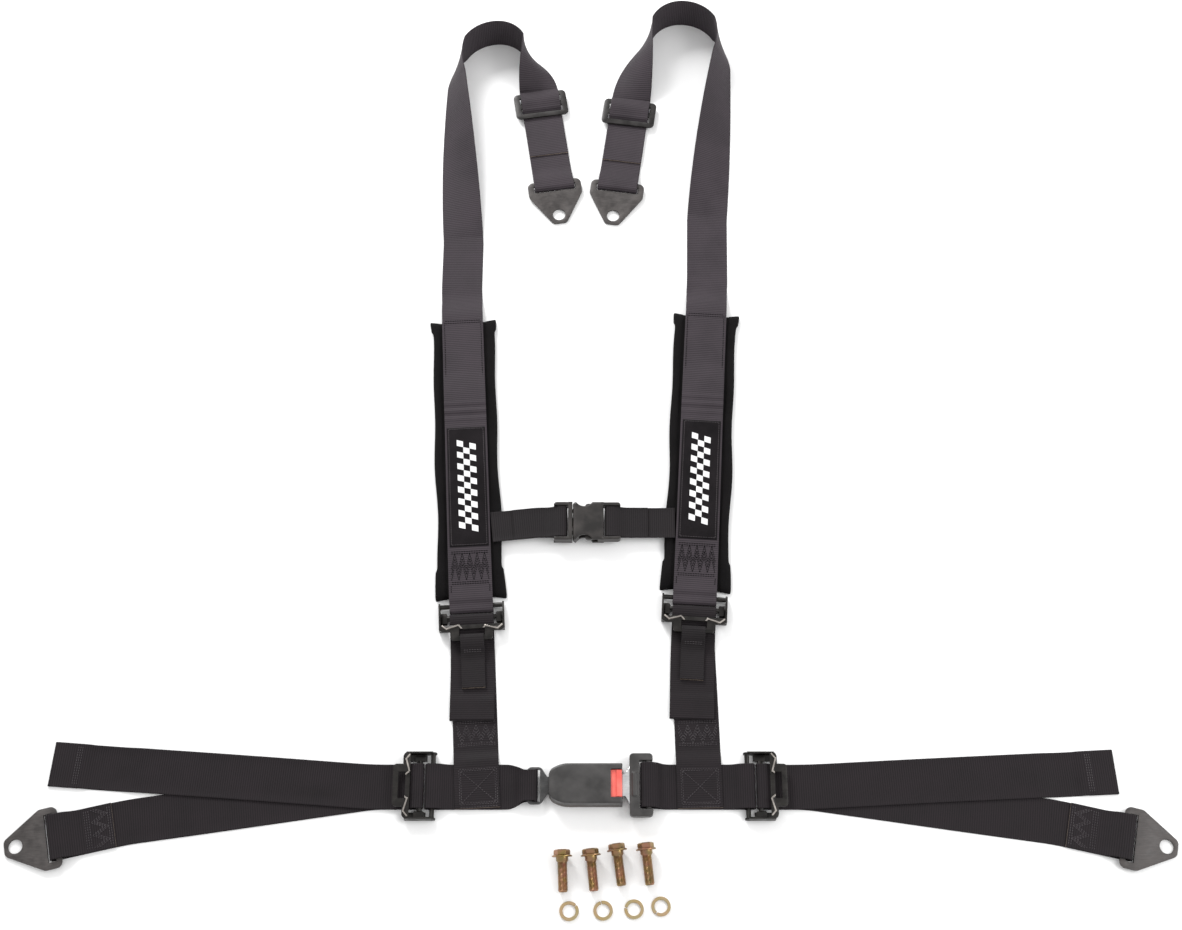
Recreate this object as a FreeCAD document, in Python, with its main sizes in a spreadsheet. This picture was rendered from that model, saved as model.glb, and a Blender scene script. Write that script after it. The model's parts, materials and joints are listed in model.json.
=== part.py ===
import FreeCAD, Part
import math
import os

import Sketcher
from FreeCAD import Placement, Rotation, Vector

# A four-point racing harness laid out flat on the floor, in millimetres.
# The floor is Z = 0, X runs along the lap belt and Y towards the shoulder anchors.
# The left half and the push-button buckle stay still; the right half unbuckles from it.

DIMENSIONS = {
    # webbing
    "web_width": 50.8,
    "web_thick": 1.5,
    "web_gap": 0.2,
    "chest_width": 38.0,
    "pull_width": 27.0,
    "bunched_width": 35.0,
    # bolt-in anchor tab
    "tab_length": 62.0,
    "tab_width": 69.0,
    "tab_tip": 17.0,
    "tab_shoulder": 20.0,
    "tab_thick": 3.0,
    "tab_bar": 6.0,
    "tab_slot": 9.0,
    "tab_slot_width": 54.0,
    "tab_hole": 8.0,
    "tab_hole_from_tip": 12.5,
    "tab_loop": 4.35,
    # tilt-lock adjuster
    "adj_width": 76.0,
    "adj_height": 13.0,
    "adj_bar_gap": 14.0,
    "adj_front": 33.0,
    "adj_lever": 44.0,
    "adj_metal": 2.0,
    "adj_axis": 4.6,
    "adj_bar": 2.7,
    "adj_loop": 3.85,
    "adj_pad_gap": 9.0,
    "web_reach": 50.0,
    # three-bar slide
    "slide_width": 69.0,
    "slide_length": 38.0,
    "slide_thick": 2.5,
    "slide_slot": 8.5,
    "slide_level": 5.3,
    # shoulder pad
    "pad_length": 368.0,
    "pad_width": 77.0,
    "pad_flare": 86.0,
    "pad_thick": 10.0,
    "patch_start": 150.0,
    "patch_length": 155.0,
    "patch_width": 46.0,
    "patch_thick": 0.8,
    # lap buckle
    "case_left": -47.0,
    "case_right": 35.0,
    "case_width": 45.0,
    "case_tip": 27.0,
    "case_taper": 22.0,
    "neck_width": 20.0,
    "case_height": 22.0,
    "case_split": 9.0,
    "case_wall": 2.5,
    "blade_level": 8.8,
    "blade_thick": 2.5,
    "blade_width": 25.0,
    "button_width": 31.0,
    # sternum buckle
    "clip_width": 48.0,
    "clip_thick": 13.0,
    "clip_level": 13.95,
    "clip_bar": 2.2,
    "clip_loop": 3.1,
    # anchor bolt and lock washer
    "bolt_across_flats": 15.9,
    "bolt_flange": 11.2,
    "bolt_shoulder": 6.6,
    "bolt_thread": 5.5,
    "bolt_length": 46.0,
    "washer_outer": 10.6,
    "washer_inner": 7.2,
    "washer_thick": 2.6,
    # layout on the floor
    "lap_line": -450.0,
    "chest_line": -135.0,
    "lap_hole_x": 635.0,
    "lap_hole_y": -517.0,
    "lap_tab_turn": 13.0,
}

# Where each side lies: the webbing is soft, so the two sides differ a little.
# Headings are in degrees from X, turns are relative to the adjuster, lengths in millimetres.
LAYOUT = {
    "left": {
        "side": -1,
        "lap_adjuster_x": -177.0,
        "lap_tail_turn": -4.2,
        "lap_tail_length": 379.0,
        "sewn_x": -126.0,
        "shoulder_tail_turn": -3.0,
        "shoulder_tail_length": 86.0,
        "pad_top": (-160.0, 139.5),
        "pad_heading": -86.85,
        "shoulder_hole": (-41.0, 295.7),
        "shoulder_heading": 98.5,
        "slide_distance": 122.0,
        "slide_tail": 77.0,
        "twist_length": 62.0,
        "twist_yaw": 20.0,
        "first_bend": (61.5, 38.0),
        "second_bend": (60.0, 50.0),
        "untwist_yaws": (33.0, 1.0),
    },
    "right": {
        "side": 1,
        "lap_adjuster_x": 175.0,
        "lap_tail_turn": 2.9,
        "lap_tail_length": 363.0,
        "sewn_x": 122.0,
        "shoulder_tail_turn": 1.3,
        "shoulder_tail_length": 94.0,
        "pad_top": (143.5, 149.0),
        "pad_heading": -93.4,
        "shoulder_hole": (28.3, 294.0),
        "shoulder_heading": 82.0,
        "slide_distance": 110.0,
        "slide_tail": 74.0,
        "twist_length": 103.5,
        "twist_yaw": 16.0,
        "first_bend": (66.0, 42.0),
        "second_bend": (60.0, 50.0),
        "untwist_yaws": (37.0, -2.0),
    },
}

UP = Vector(0, 0, 1)

doc = FreeCAD.newDocument("RacingHarness")
sheet = doc.addObject("Spreadsheet::Sheet", "sheet")
for row, (alias, value) in enumerate(DIMENSIONS.items(), start=1):
    sheet.set(f"A{row}", alias.replace("_", " "))
    sheet.set(f"B{row}", str(value))
    sheet.setAlias(f"B{row}", alias)
doc.recompute()

nodes = []


def dim(alias):
    """The value of a driving dimension."""
    return float(sheet.get(alias))


def node(piece, label):
    """Name a finished sub-part and list it for export."""
    piece.Label = label
    nodes.append(piece)
    return piece


def at(x, y, heading=0.0, height=0.0, pitch=0.0):
    """A place on the floor, turned about Z and then tipped nose down by pitch."""
    return Placement(Vector(x, y, height), Rotation(heading, pitch, 0))


def heading_vector(degrees):
    """The level direction that a heading points in."""
    return Vector(math.cos(math.radians(degrees)), math.sin(math.radians(degrees)), 0)


# ---------------------------------------------------------------- webbing

class Route:
    """The path of a flat strap, kept as cross-sections from one end to the other."""

    def __init__(self, start, heading, width, face=UP):
        self.point = Vector(*start)
        self.along = heading_vector(heading)
        self.face = Vector(face)
        self.across = self.face.cross(self.along)
        self.width = width
        self.edge_on_floor = False
        self.sections = []
        self.mark()

    def mark(self):
        """Keep the cross-section here."""
        thick = dim("web_thick")
        if self.edge_on_floor:
            self.point.z = self.width / 2 * abs(self.across.z) + thick / 2 * abs(self.face.z)
        side = self.across * (self.width / 2)
        rise = self.face * (thick / 2)
        corners = (side + rise, rise - side, side * -1 - rise, side - rise)
        self.sections.append([self.point + corner for corner in corners])

    def turn(self, degrees, axis):
        """Turn the strap's own directions about an axis through its middle."""
        spin = Rotation(axis, degrees)
        self.along = spin.multVec(self.along)
        self.across = spin.multVec(self.across)
        self.face = spin.multVec(self.face)

    def run(self, length, width=None):
        """Go straight on, to another width if one is given."""
        self.point = self.point + self.along * length
        self.width = width or self.width
        self.mark()
        return self

    def curve(self, degrees, axis_name, count, chord):
        """Take equal steps, turning about one of the strap's own directions."""
        for _ in range(count):
            self.turn(degrees / count / 2, getattr(self, axis_name))
            self.point = self.point + self.along * chord
            self.turn(degrees / count / 2, getattr(self, axis_name))
            self.mark()
        return self

    def wrap(self, degrees, radius):
        """Bend round a bar, away from the face by a positive angle."""
        count = math.ceil(abs(degrees) / 15)
        chord = 2 * radius * math.sin(math.radians(abs(degrees) / count / 2))
        return self.curve(degrees, "across", count, chord)

    def steer(self, degrees, length):
        """Swing sideways in the plane of the strap, anticlockwise seen from above."""
        count = max(2, math.ceil(abs(degrees) / 2))
        return self.curve(degrees * self.face.z, "face", count, length / count)

    def climb(self, rise, length):
        """Rise to another level over a length of floor, with an S-bend."""
        count = 4
        bend = 2 * math.atan2(rise, length) * self.face.z
        half = math.hypot(rise, length) / 2
        chord = half * math.sin(bend / count / 2) / math.sin(bend / 2)
        self.curve(-math.degrees(bend), "across", count, chord)
        return self.curve(math.degrees(bend), "across", count, chord)

    def restart(self):
        """Begin a new stretch of the same strap at the last cross-section."""
        self.sections = self.sections[-1:]

    def heading(self):
        """The heading on the floor, in degrees."""
        return math.degrees(math.atan2(self.along.y, self.along.x))

    def join(self, goal, goal_heading, swing=30.0):
        """Swing, go straight and swing again, to arrive at a point with a heading."""
        start_heading = self.heading()
        straight = start_heading
        for _ in range(8):
            away = self.point + heading_vector(mean_angle(start_heading, straight)) * swing
            near = goal - heading_vector(mean_angle(straight, goal_heading)) * swing
            gap = Vector(near.x - away.x, near.y - away.y, 0)
            straight = math.degrees(math.atan2(gap.y, gap.x))
        self.steer(wrapped(straight - start_heading), swing)
        self.run(gap.Length)
        return self.steer(wrapped(goal_heading - straight), swing)

    def twist(self, degrees, length, yaw=0.0):
        """Roll about the strap's own line while it swings about the vertical."""
        count = math.ceil(max(abs(degrees), abs(yaw)) / 7.5)
        for _ in range(count):
            self.turn(yaw / count / 2, UP)
            self.point = self.point + self.along * (length / count)
            self.turn(yaw / count / 2, UP)
            self.turn(degrees / count, self.along)
            self.mark()
        return self


def wrapped(degrees):
    """An angle brought to within half a turn of zero."""
    return (degrees + 180) % 360 - 180


def mean_angle(first, second):
    """The heading half way between two headings."""
    return first + wrapped(second - first) / 2


def flat_face(corners):
    """One plane face through its corners."""
    return Part.Face(Part.makePolygon(corners + corners[:1]))


def side_faces(a, b, c, d):
    """The face between two cross-sections: one plane face, or two where it is twisted."""
    normal = (b - a).cross(d - a)
    if abs(normal.dot(c - a)) < 1e-7 * max(normal.Length, 1.0):
        return [flat_face([a, b, c, d])]
    return [flat_face([a, b, c]), flat_face([a, c, d])]


def strap(label, route):
    """A closed solid of plane faces through the cross-sections of a route."""
    rings = route.sections
    faces = [flat_face(rings[0][::-1]), flat_face(rings[-1])]
    for ring, after in zip(rings, rings[1:]):
        # both broad faces are split along the same diagonal, so that they stay apart in a twist
        faces += side_faces(ring[0], ring[1], after[1], after[0])
        faces += side_faces(ring[1], ring[2], after[2], after[1])
        faces += side_faces(ring[3], after[3], after[2], ring[2])
        faces += side_faces(ring[3], ring[0], after[0], after[3])
    shell = Part.makeShell(faces)
    shell.sewShape()
    solid = Part.Solid(shell)
    if solid.Volume < 0:
        solid.reverse()
    piece = doc.addObject("Part::Feature", label)
    piece.Shape = solid
    return node(piece, label)


# ---------------------------------------------------------------- sketch and primitive helpers

def origin_plane(body, role):
    """One of a body's own origin planes."""
    return next(item for item in body.Origin.OriginFeatures if item.Role == role)


def outline_sketch(body, name, corners, plane="XY_Plane"):
    """A closed outline through corners given as pairs of expressions."""
    sketch = body.newObject("Sketcher::SketchObject", name)
    sketch.AttachmentSupport = [(origin_plane(body, plane), "")]
    sketch.MapMode = "FlatFace"
    values = [(evaluate(x), evaluate(y)) for x, y in corners]
    points = [Vector(x, y, 0) for x, y in values]
    for start, end in zip(points, points[1:] + points[:1]):
        sketch.addGeometry(Part.LineSegment(start, end))
    for i in range(len(points)):
        following = (i + 1) % len(points)
        sketch.addConstraint(Sketcher.Constraint("Coincident", i, 2, following, 1))
    for i, (pair, value) in enumerate(zip(corners, values)):
        for kind, expression, size in zip(("DistanceX", "DistanceY"), pair, value):
            index = sketch.addConstraint(Sketcher.Constraint(kind, -1, 1, i, 1, size))
            sketch.setExpression(f"Constraints[{index}]", expression)
    return sketch


def evaluate(expression):
    """The number that an expression on the sheet gives."""
    return float(sheet.evalExpression(expression.replace("sheet.", "")))


def circle_sketch(body, name, centre, radius):
    """A circle on the body's XY plane, its centre and radius bound to expressions."""
    sketch = body.newObject("Sketcher::SketchObject", name)
    sketch.AttachmentSupport = [(origin_plane(body, "XY_Plane"), "")]
    sketch.MapMode = "FlatFace"
    middle = Vector(evaluate(centre), 0, 0)
    sketch.addGeometry(Part.Circle(middle, UP, evaluate(radius)))
    sketch.addConstraint(Sketcher.Constraint("PointOnObject", 0, 3, -1))
    for kind, args, expression in (
        ("DistanceX", (-1, 1, 0, 3), centre),
        ("Radius", (0,), radius),
    ):
        index = sketch.addConstraint(Sketcher.Constraint(kind, *args, evaluate(expression)))
        sketch.setExpression(f"Constraints[{index}]", expression)
    return sketch


def pad_up(body, sketch, height):
    """Extrude a sketch upwards."""
    pad = body.newObject("PartDesign::Pad", f"{sketch.Name}_pad")
    pad.Profile = sketch
    pad.setExpression("Length", height)
    doc.recompute()
    return pad


def cut_through(body, sketch):
    """Cut a sketch right through the body."""
    pocket = body.newObject("PartDesign::Pocket", f"{sketch.Name}_cut")
    pocket.Profile = sketch
    pocket.Type = 1
    pocket.Midplane = True
    doc.recompute()
    return pocket


def round_upright_edges(body, feature, name, radius, chosen):
    """Round the upright edges whose place passes a test."""
    names = []
    for index, edge in enumerate(feature.Shape.Edges, start=1):
        line = edge.Vertexes[-1].Point - edge.Vertexes[0].Point
        upright = abs(line.z) > 0.9 * line.Length > 0
        if upright and chosen(edge.Vertexes[0].Point):
            names.append(f"Edge{index}")
    fillet = body.newObject("PartDesign::Fillet", name)
    fillet.Base = (feature, names)
    fillet.Radius = radius
    doc.recompute()
    return fillet


def box(name, x, y, z):
    """A block between pairs of expressions along each axis."""
    piece = doc.addObject("Part::Box", name)
    for prop, (low, high) in (("Length", x), ("Width", y), ("Height", z)):
        piece.setExpression(prop, f"({high}) - ({low})")
    for axis, (low, _) in zip("xyz", (x, y, z)):
        piece.setExpression(f"Placement.Base.{axis}", low)
    return piece


def rod(name, radius, half_length, x, z):
    """A round bar across the strap, its middle at Y = 0."""
    piece = doc.addObject("Part::Cylinder", name)
    piece.setExpression("Radius", radius)
    piece.setExpression("Height", f"2 * ({half_length})")
    piece.Placement.Rotation = Rotation(Vector(1, 0, 0), -90)
    piece.setExpression("Placement.Base.x", x)
    piece.setExpression("Placement.Base.y", f"-({half_length})")
    piece.setExpression("Placement.Base.z", z)
    return piece


def pair(half):
    """Expressions for a span centred on zero."""
    return f"-({half})", half


def fuse(name, pieces):
    """Join pieces into one solid."""
    joined = doc.addObject("Part::MultiFuse", name)
    joined.Shapes = pieces
    joined.Refine = True
    return joined


def cut(name, base, tools):
    """Cut one or more tools out of a base."""
    result = doc.addObject("Part::Cut", name)
    result.Base = base
    result.Tool = tools[0] if len(tools) == 1 else fuse(f"{name}_tools", tools)
    result.Refine = True
    return result


def round_edges(name, base, radius, chosen):
    """Round the edges of a piece that pass a test."""
    doc.recompute()
    fillet = doc.addObject("Part::Fillet", name)
    fillet.Base = base
    fillet.Edges = [
        (index, radius, radius)
        for index, edge in enumerate(base.Shape.Edges, start=1)
        if chosen(edge)
    ]
    return fillet


def is_upright(edge):
    """True for a straight edge along Z."""
    line = edge.Vertexes[-1].Point - edge.Vertexes[0].Point
    return line.Length > 0 and abs(line.z) > 0.999 * line.Length


# ---------------------------------------------------------------- anchor tabs and slides

def anchor_tab(label, place):
    """A triangular steel plate: a slot for the webbing at the wide end, a bolt hole at the tip."""
    body = doc.addObject("PartDesign::Body", label)
    half, tip = "sheet.tab_width / 2", "sheet.tab_tip / 2"
    corners = [
        ("0", f"-{half}"),
        ("sheet.tab_shoulder", f"-{half}"),
        ("sheet.tab_length", f"-{tip}"),
        ("sheet.tab_length", tip),
        ("sheet.tab_shoulder", half),
        ("0", half),
    ]
    plate = pad_up(body, outline_sketch(body, f"{label}_outline", corners), "sheet.tab_thick")
    length = dim("tab_length")
    shoulder = dim("tab_shoulder")
    plate = round_upright_edges(
        body, plate, f"{label}_tip", 7.0, lambda point: point.x > length - 1
    )
    plate = round_upright_edges(
        body, plate, f"{label}_corners", 7.0, lambda point: abs(point.y) > 30 and point.x < shoulder + 1
    )
    slot_start = "sheet.tab_bar"
    slot_end = "sheet.tab_bar + sheet.tab_slot"
    slot_half = "sheet.tab_slot_width / 2"
    slot = outline_sketch(
        body,
        f"{label}_slot",
        [
            (slot_start, f"-{slot_half}"),
            (slot_end, f"-{slot_half}"),
            (slot_end, slot_half),
            (slot_start, slot_half),
        ],
    )
    cut_through(body, slot)
    hole = circle_sketch(
        body, f"{label}_hole", "sheet.tab_length - sheet.tab_hole_from_tip", "sheet.tab_hole"
    )
    cut_through(body, hole)
    body.Placement = place
    return node(body, label)


def three_bar_slide(label, place):
    """A flat steel slide with two slots, through which the webbing is doubled back."""
    body = doc.addObject("PartDesign::Body", label)
    half_length, half_width = "sheet.slide_length / 2", "sheet.slide_width / 2"
    corners = [
        (f"-{half_length}", f"-{half_width}"),
        (half_length, f"-{half_width}"),
        (half_length, half_width),
        (f"-{half_length}", half_width),
    ]
    plate = pad_up(body, outline_sketch(body, f"{label}_outline", corners), "sheet.slide_thick")
    plate = round_upright_edges(body, plate, f"{label}_corners", 6.0, lambda point: True)
    bar = "(sheet.slide_length - 2 * sheet.slide_slot) / 3"
    for name, near in (
        ("near", f"-{half_length} + {bar}"),
        ("far", f"-{half_length} + 2 * {bar} + sheet.slide_slot"),
    ):
        far = f"{near} + sheet.slide_slot"
        half = "sheet.tab_slot_width / 2"
        slot = outline_sketch(
            body,
            f"{label}_{name}",
            [(near, f"-{half}"), (far, f"-{half}"), (far, half), (near, half)],
        )
        cut_through(body, slot)
    body.Placement = place
    return node(body, label)


# ---------------------------------------------------------------- adjusters

# Plan corners of the zigzag lip on one side of the lever, from the wall inwards.
LIP_CORNERS = ((26.0, 35.0), (30.5, 29.5), (26.5, 15.5), (30.0, 12.5))


def adjuster_frame(label, place):
    """The folded steel frame: fixed rear bar, side walls, sheared lips and slotted lever.

    The rear bar lies on the local Y axis and the lever points along local X.
    """
    half = "sheet.adj_width / 2"
    metal = "sheet.adj_metal"
    axis = "sheet.adj_axis"
    top = "sheet.adj_height"
    lever_low = f"{top} - {metal} - 1"
    pieces = [rod(f"{label}_rear_bar", "sheet.adj_bar", f"{half} - 1", "0", axis)]
    for side, sign in (("a", "-"), ("b", "")):
        outer, inner = f"{half}", f"{half} - {metal}"
        wall = (f"-({outer})", f"-({inner})") if sign else (inner, outer)
        shelf = (f"-({inner})", f"-({half} - 9)") if sign else (f"{half} - 9", inner)
        pieces += [
            box(f"{label}_wall_{side}", ("0", "sheet.adj_front - 3"), wall, ("1", f"{top} - 1")),
            box(f"{label}_shelf_{side}", ("7", "sheet.adj_front - 3"), shelf, ("1", "2.4")),
            box(
                f"{label}_post_{side}",
                ("sheet.adj_front - 6", "sheet.adj_front - 3"),
                shelf,
                ("1", lever_low),
            ),
        ]
        eye = doc.addObject("Part::Cylinder", f"{label}_eye_{side}")
        eye.setExpression("Radius", f"{axis} - 0.4")
        eye.setExpression("Height", metal)
        eye.Placement.Rotation = Rotation(Vector(1, 0, 0), -90)
        eye.setExpression("Placement.Base.y", wall[0])
        eye.setExpression("Placement.Base.z", axis)
        pieces.append(eye)
    bridge = box(
        f"{label}_bridge",
        ("sheet.adj_front - 8", "sheet.adj_front"),
        pair(half),
        (lever_low, f"{top} - 1"),
    )
    tongue = box(
        f"{label}_tongue",
        ("sheet.adj_front - 1", "sheet.adj_lever"),
        pair("24"),
        (lever_low, f"{top} - 1"),
    )
    pieces.append(round_edges(f"{label}_bridge_round", bridge, 6.0, front_corner))
    pieces.append(round_edges(f"{label}_tongue_round", tongue, 4.0, front_corner))
    for side in (-1, 1):
        for i, (start, end) in enumerate(zip(LIP_CORNERS, LIP_CORNERS[1:])):
            pieces.append(sheared_lip(f"{label}_lip_{i}_{side + 1}", start, end, side))
    solid = fuse(f"{label}_solid", pieces)
    slot = box(
        f"{label}_slot",
        ("sheet.adj_front - 3", "sheet.adj_front + 5"),
        pair("sheet.pull_width / 2 + 1.5"),
        ("0", f"{top} + 2"),
    )
    frame = cut(label, solid, [slot])
    frame.Placement = place
    return node(frame, label)


def front_corner(edge):
    """An upright edge at the far end of a block."""
    return is_upright(edge) and edge.Vertexes[0].X > 32


def sheared_lip(name, start, end, side):
    """One straight of the zigzag lip that stands along the bridge, between two plan points."""
    thick = 1.6
    lip = doc.addObject("Part::Box", name)
    run = Vector(end[0] - start[0], side * (end[1] - start[1]), 0)
    lip.Length = run.Length + thick / 2
    lip.Width = thick
    lip.setExpression("Height", "sheet.adj_metal + 2")
    level = dim("adj_height") - dim("adj_metal") - 1
    turn = math.degrees(math.atan2(run.y, run.x))
    lip.Placement = at(start[0], side * start[1], turn, level)
    return lip


def locking_bar(label, place):
    """The floating bar that nips the webbing, with a lug plate at each end."""
    core = rod(f"{label}_core", "sheet.adj_bar", "28.5", "sheet.adj_bar_gap", "sheet.adj_axis + 0.3")
    flat = box(
        f"{label}_flat",
        ("sheet.adj_bar_gap", "sheet.adj_bar_gap + 3.4"),
        pair("27"),
        ("sheet.adj_axis - 1.2", "sheet.adj_axis + 1.8"),
    )
    pieces = [core, flat]
    for side, span in (("a", ("-34.8", "-28")), ("b", ("28", "34.8"))):
        lug = box(
            f"{label}_lug_{side}",
            ("sheet.adj_bar_gap - 5.5", "sheet.adj_bar_gap + 6.5"),
            span,
            ("2.6", "5.6"),
        )
        pieces.append(round_edges(f"{label}_lug_round_{side}", lug, 2.0, is_upright))
    bar = fuse(label, pieces)
    bar.Placement = place
    return node(bar, label)


# ---------------------------------------------------------------- pads

def shoulder_pad(label, place):
    """A flat pad, wider at its four corners than along its middle, with softened edges."""
    body = doc.addObject("PartDesign::Body", label)
    wide, narrow = "sheet.pad_flare / 2", "sheet.pad_width / 2"
    lengthwise = [("0", wide), ("18", narrow), ("sheet.pad_length - 40", narrow), ("sheet.pad_length", wide)]
    corners = [(x, f"-{y}") for x, y in lengthwise] + lengthwise[::-1]
    outline = outline_sketch(body, f"{label}_outline", corners)
    slab = pad_up(body, outline, "sheet.pad_thick")
    slab = round_upright_edges(
        body, slab, f"{label}_corners", 6.0, lambda point: abs(point.y) > dim("pad_flare") / 2 - 0.1
    )
    fillet = body.newObject("PartDesign::Fillet", f"{label}_edge")
    rim = [
        f"Edge{index}"
        for index, edge in enumerate(slab.Shape.Edges, start=1)
        if all(abs(vertex.Z - dim("pad_thick")) < 0.01 for vertex in edge.Vertexes)
    ]
    fillet.Base = (slab, rim)
    fillet.Radius = 4.0
    body.Placement = place
    return node(body, label)


def pad_patch(label, place):
    """A plain label patch sewn on the webbing over the pad."""
    patch = box(
        f"{label}_block",
        ("sheet.patch_start", "sheet.patch_start + sheet.patch_length"),
        pair("sheet.patch_width / 2"),
        ("0", "sheet.patch_thick"),
    )
    piece = round_edges(label, patch, 3.0, is_upright)
    piece.Placement = place
    return node(piece, label)


# ---------------------------------------------------------------- levels and places

def layer(count):
    """The middle height of a webbing layer lying on the floor, counted from 1."""
    return dim("web_thick") / 2 + (count - 1) * (dim("web_thick") + dim("web_gap"))


def tab_bar_reach():
    """From the bolt hole's centre to the middle of the tab's bar."""
    return dim("tab_length") - dim("tab_hole_from_tip") - dim("tab_bar") / 2


def lap_tab_heading(spec):
    """The way a lap tab points, from its slot to its hole."""
    return -dim("lap_tab_turn") if spec["side"] > 0 else 180 + dim("lap_tab_turn")


def lap_bar(spec):
    """Where the middle of a lap tab's bar is on the floor."""
    hole = Vector(spec["side"] * dim("lap_hole_x"), dim("lap_hole_y"), 0)
    return hole - heading_vector(lap_tab_heading(spec)) * tab_bar_reach()


def shoulder_bar(spec):
    """Where the middle of a shoulder tab's bar is on the floor."""
    return Vector(*spec["shoulder_hole"], 0) + heading_vector(spec["shoulder_heading"]) * tab_bar_reach()


def tab_level():
    """The height of a tab's bar: the webbing passes underneath it on the floor."""
    return layer(1) + dim("tab_loop")


def tab_place(bar, heading):
    """A tab hung on its webbing loop by the bar, with its tip resting on the floor."""
    half_bar = dim("tab_bar") / 2
    reach = dim("tab_length") - half_bar
    drop = tab_level() - dim("tab_thick") / 2
    tip = math.degrees(math.asin(drop / math.hypot(reach, dim("tab_thick") / 2)))
    place = at(bar.x, bar.y, heading, tab_level(), tip)
    return place.multiply(Placement(Vector(-half_bar, 0, -dim("tab_thick") / 2), Rotation()))


def lap_adjuster_place(spec):
    """The rear bar of a lap adjuster, with its lever pointing outwards."""
    return at(spec["lap_adjuster_x"], dim("lap_line"), 180 if spec["side"] < 0 else 0)


def shoulder_adjuster_place(spec):
    """The rear bar of a shoulder adjuster, just below the foot of its pad."""
    reach = dim("pad_length") + dim("adj_pad_gap")
    bar = Vector(*spec["pad_top"], 0) + heading_vector(spec["pad_heading"]) * reach
    return at(bar.x, bar.y, spec["pad_heading"])


# ---------------------------------------------------------------- webbing of one side

def adjuster_webbing(name, place, tail_turn, tail_length, tail_drop):
    """The turn round an adjuster's floating bar and the free tail; gives where the lower layer ends."""
    reach = dim("web_reach")
    heading = place.Rotation.toEuler()[0]
    end = place.multVec(Vector(reach, 0, layer(1)))
    bight = Route(tuple(end), heading + 180, dim("web_width"), face=UP * -1)
    bight.run(reach - dim("adj_bar_gap") - 12)
    bight.climb(dim("adj_axis") + 0.3 - dim("adj_loop") - layer(1), 10)
    bight.run(2)
    bight.wrap(180, dim("adj_loop"))
    bight.run(2)
    bight.climb(layer(2) - bight.point.z, 24)
    bight.run(reach - dim("adj_bar_gap") - 26)
    strap(f"{name}_bight", bight)
    tail = Route(tuple(bight.point), heading, dim("web_width"))
    tail.steer(tail_turn, 40)
    if tail_drop:
        tail.run(tail_drop)
        tail.climb(layer(1) - layer(2), 30)
    tail.run(tail_length - 40 - (tail_drop + 30 if tail_drop else 0))
    strap(f"{name}_tail", tail)
    return end, heading + 180


def lap_anchor_strap(side, spec):
    """The outer lap strap, sewn round its anchor tab, with its adjuster end and tail."""
    name = f"lap_strap_{side}"
    end, end_heading = adjuster_webbing(
        name, lap_adjuster_place(spec), spec["lap_tail_turn"], spec["lap_tail_length"], 235
    )
    heading = lap_tab_heading(spec)
    stub = 62.0
    start = lap_bar(spec) - heading_vector(heading) * stub
    anchor = Route((start.x, start.y, layer(2)), heading, dim("web_width"))
    anchor.run(stub - 27)
    anchor.climb(tab_level() + dim("tab_loop") - layer(2), 26)
    anchor.run(1)
    anchor.wrap(180, dim("tab_loop"))
    anchor.run(stub)
    anchor.join(end, end_heading)
    strap(f"{name}_anchor", anchor)


def lap_inner_strap(side, spec, bar_x, bar_level, loop, width):
    """A closed loop of webbing from the buckle side to the adjuster's rear bar, sewn flat."""
    outward = 180 if spec["side"] < 0 else 0
    reach = abs(spec["sewn_x"] - bar_x)
    route = Route((spec["sewn_x"], dim("lap_line"), layer(2)), outward + 180, dim("web_width"))
    route.run(reach - 25)
    route.width = width
    route.climb(bar_level + loop - layer(2), 24)
    route.run(1)
    route.wrap(180, loop)
    route.run(1)
    route.climb(layer(1) - route.point.z, 22)
    route.run(6, dim("web_width"))
    bar = spec["lap_adjuster_x"]
    route.run(abs(bar - route.point.x))
    route.wrap(180, dim("adj_loop"))
    route.run(1)
    route.climb(layer(2) - route.point.z, 22)
    route.run(abs(spec["sewn_x"] - route.point.x) - 1)
    strap(f"lap_strap_{side}_inner", route)


def shoulder_lower_strap(side, spec):
    """The strap from the lap belt, where it is sewn on, up to the shoulder adjuster."""
    name = f"shoulder_strap_{side}"
    end, end_heading = adjuster_webbing(
        name, shoulder_adjuster_place(spec), spec["shoulder_tail_turn"], spec["shoulder_tail_length"], 0
    )
    start = Vector(spec["sewn_x"], dim("lap_line") - dim("web_width") / 2 + 1, layer(3))
    straight = math.degrees(math.atan2(end.y - start.y, end.x - start.x))
    route = Route(tuple(start), straight, dim("web_width"), face=UP * -1)
    route.run(dim("web_width"))
    route.climb(layer(1) - layer(3), 18)
    route.join(end, end_heading, 20)
    strap(f"{name}_lower", route)


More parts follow.
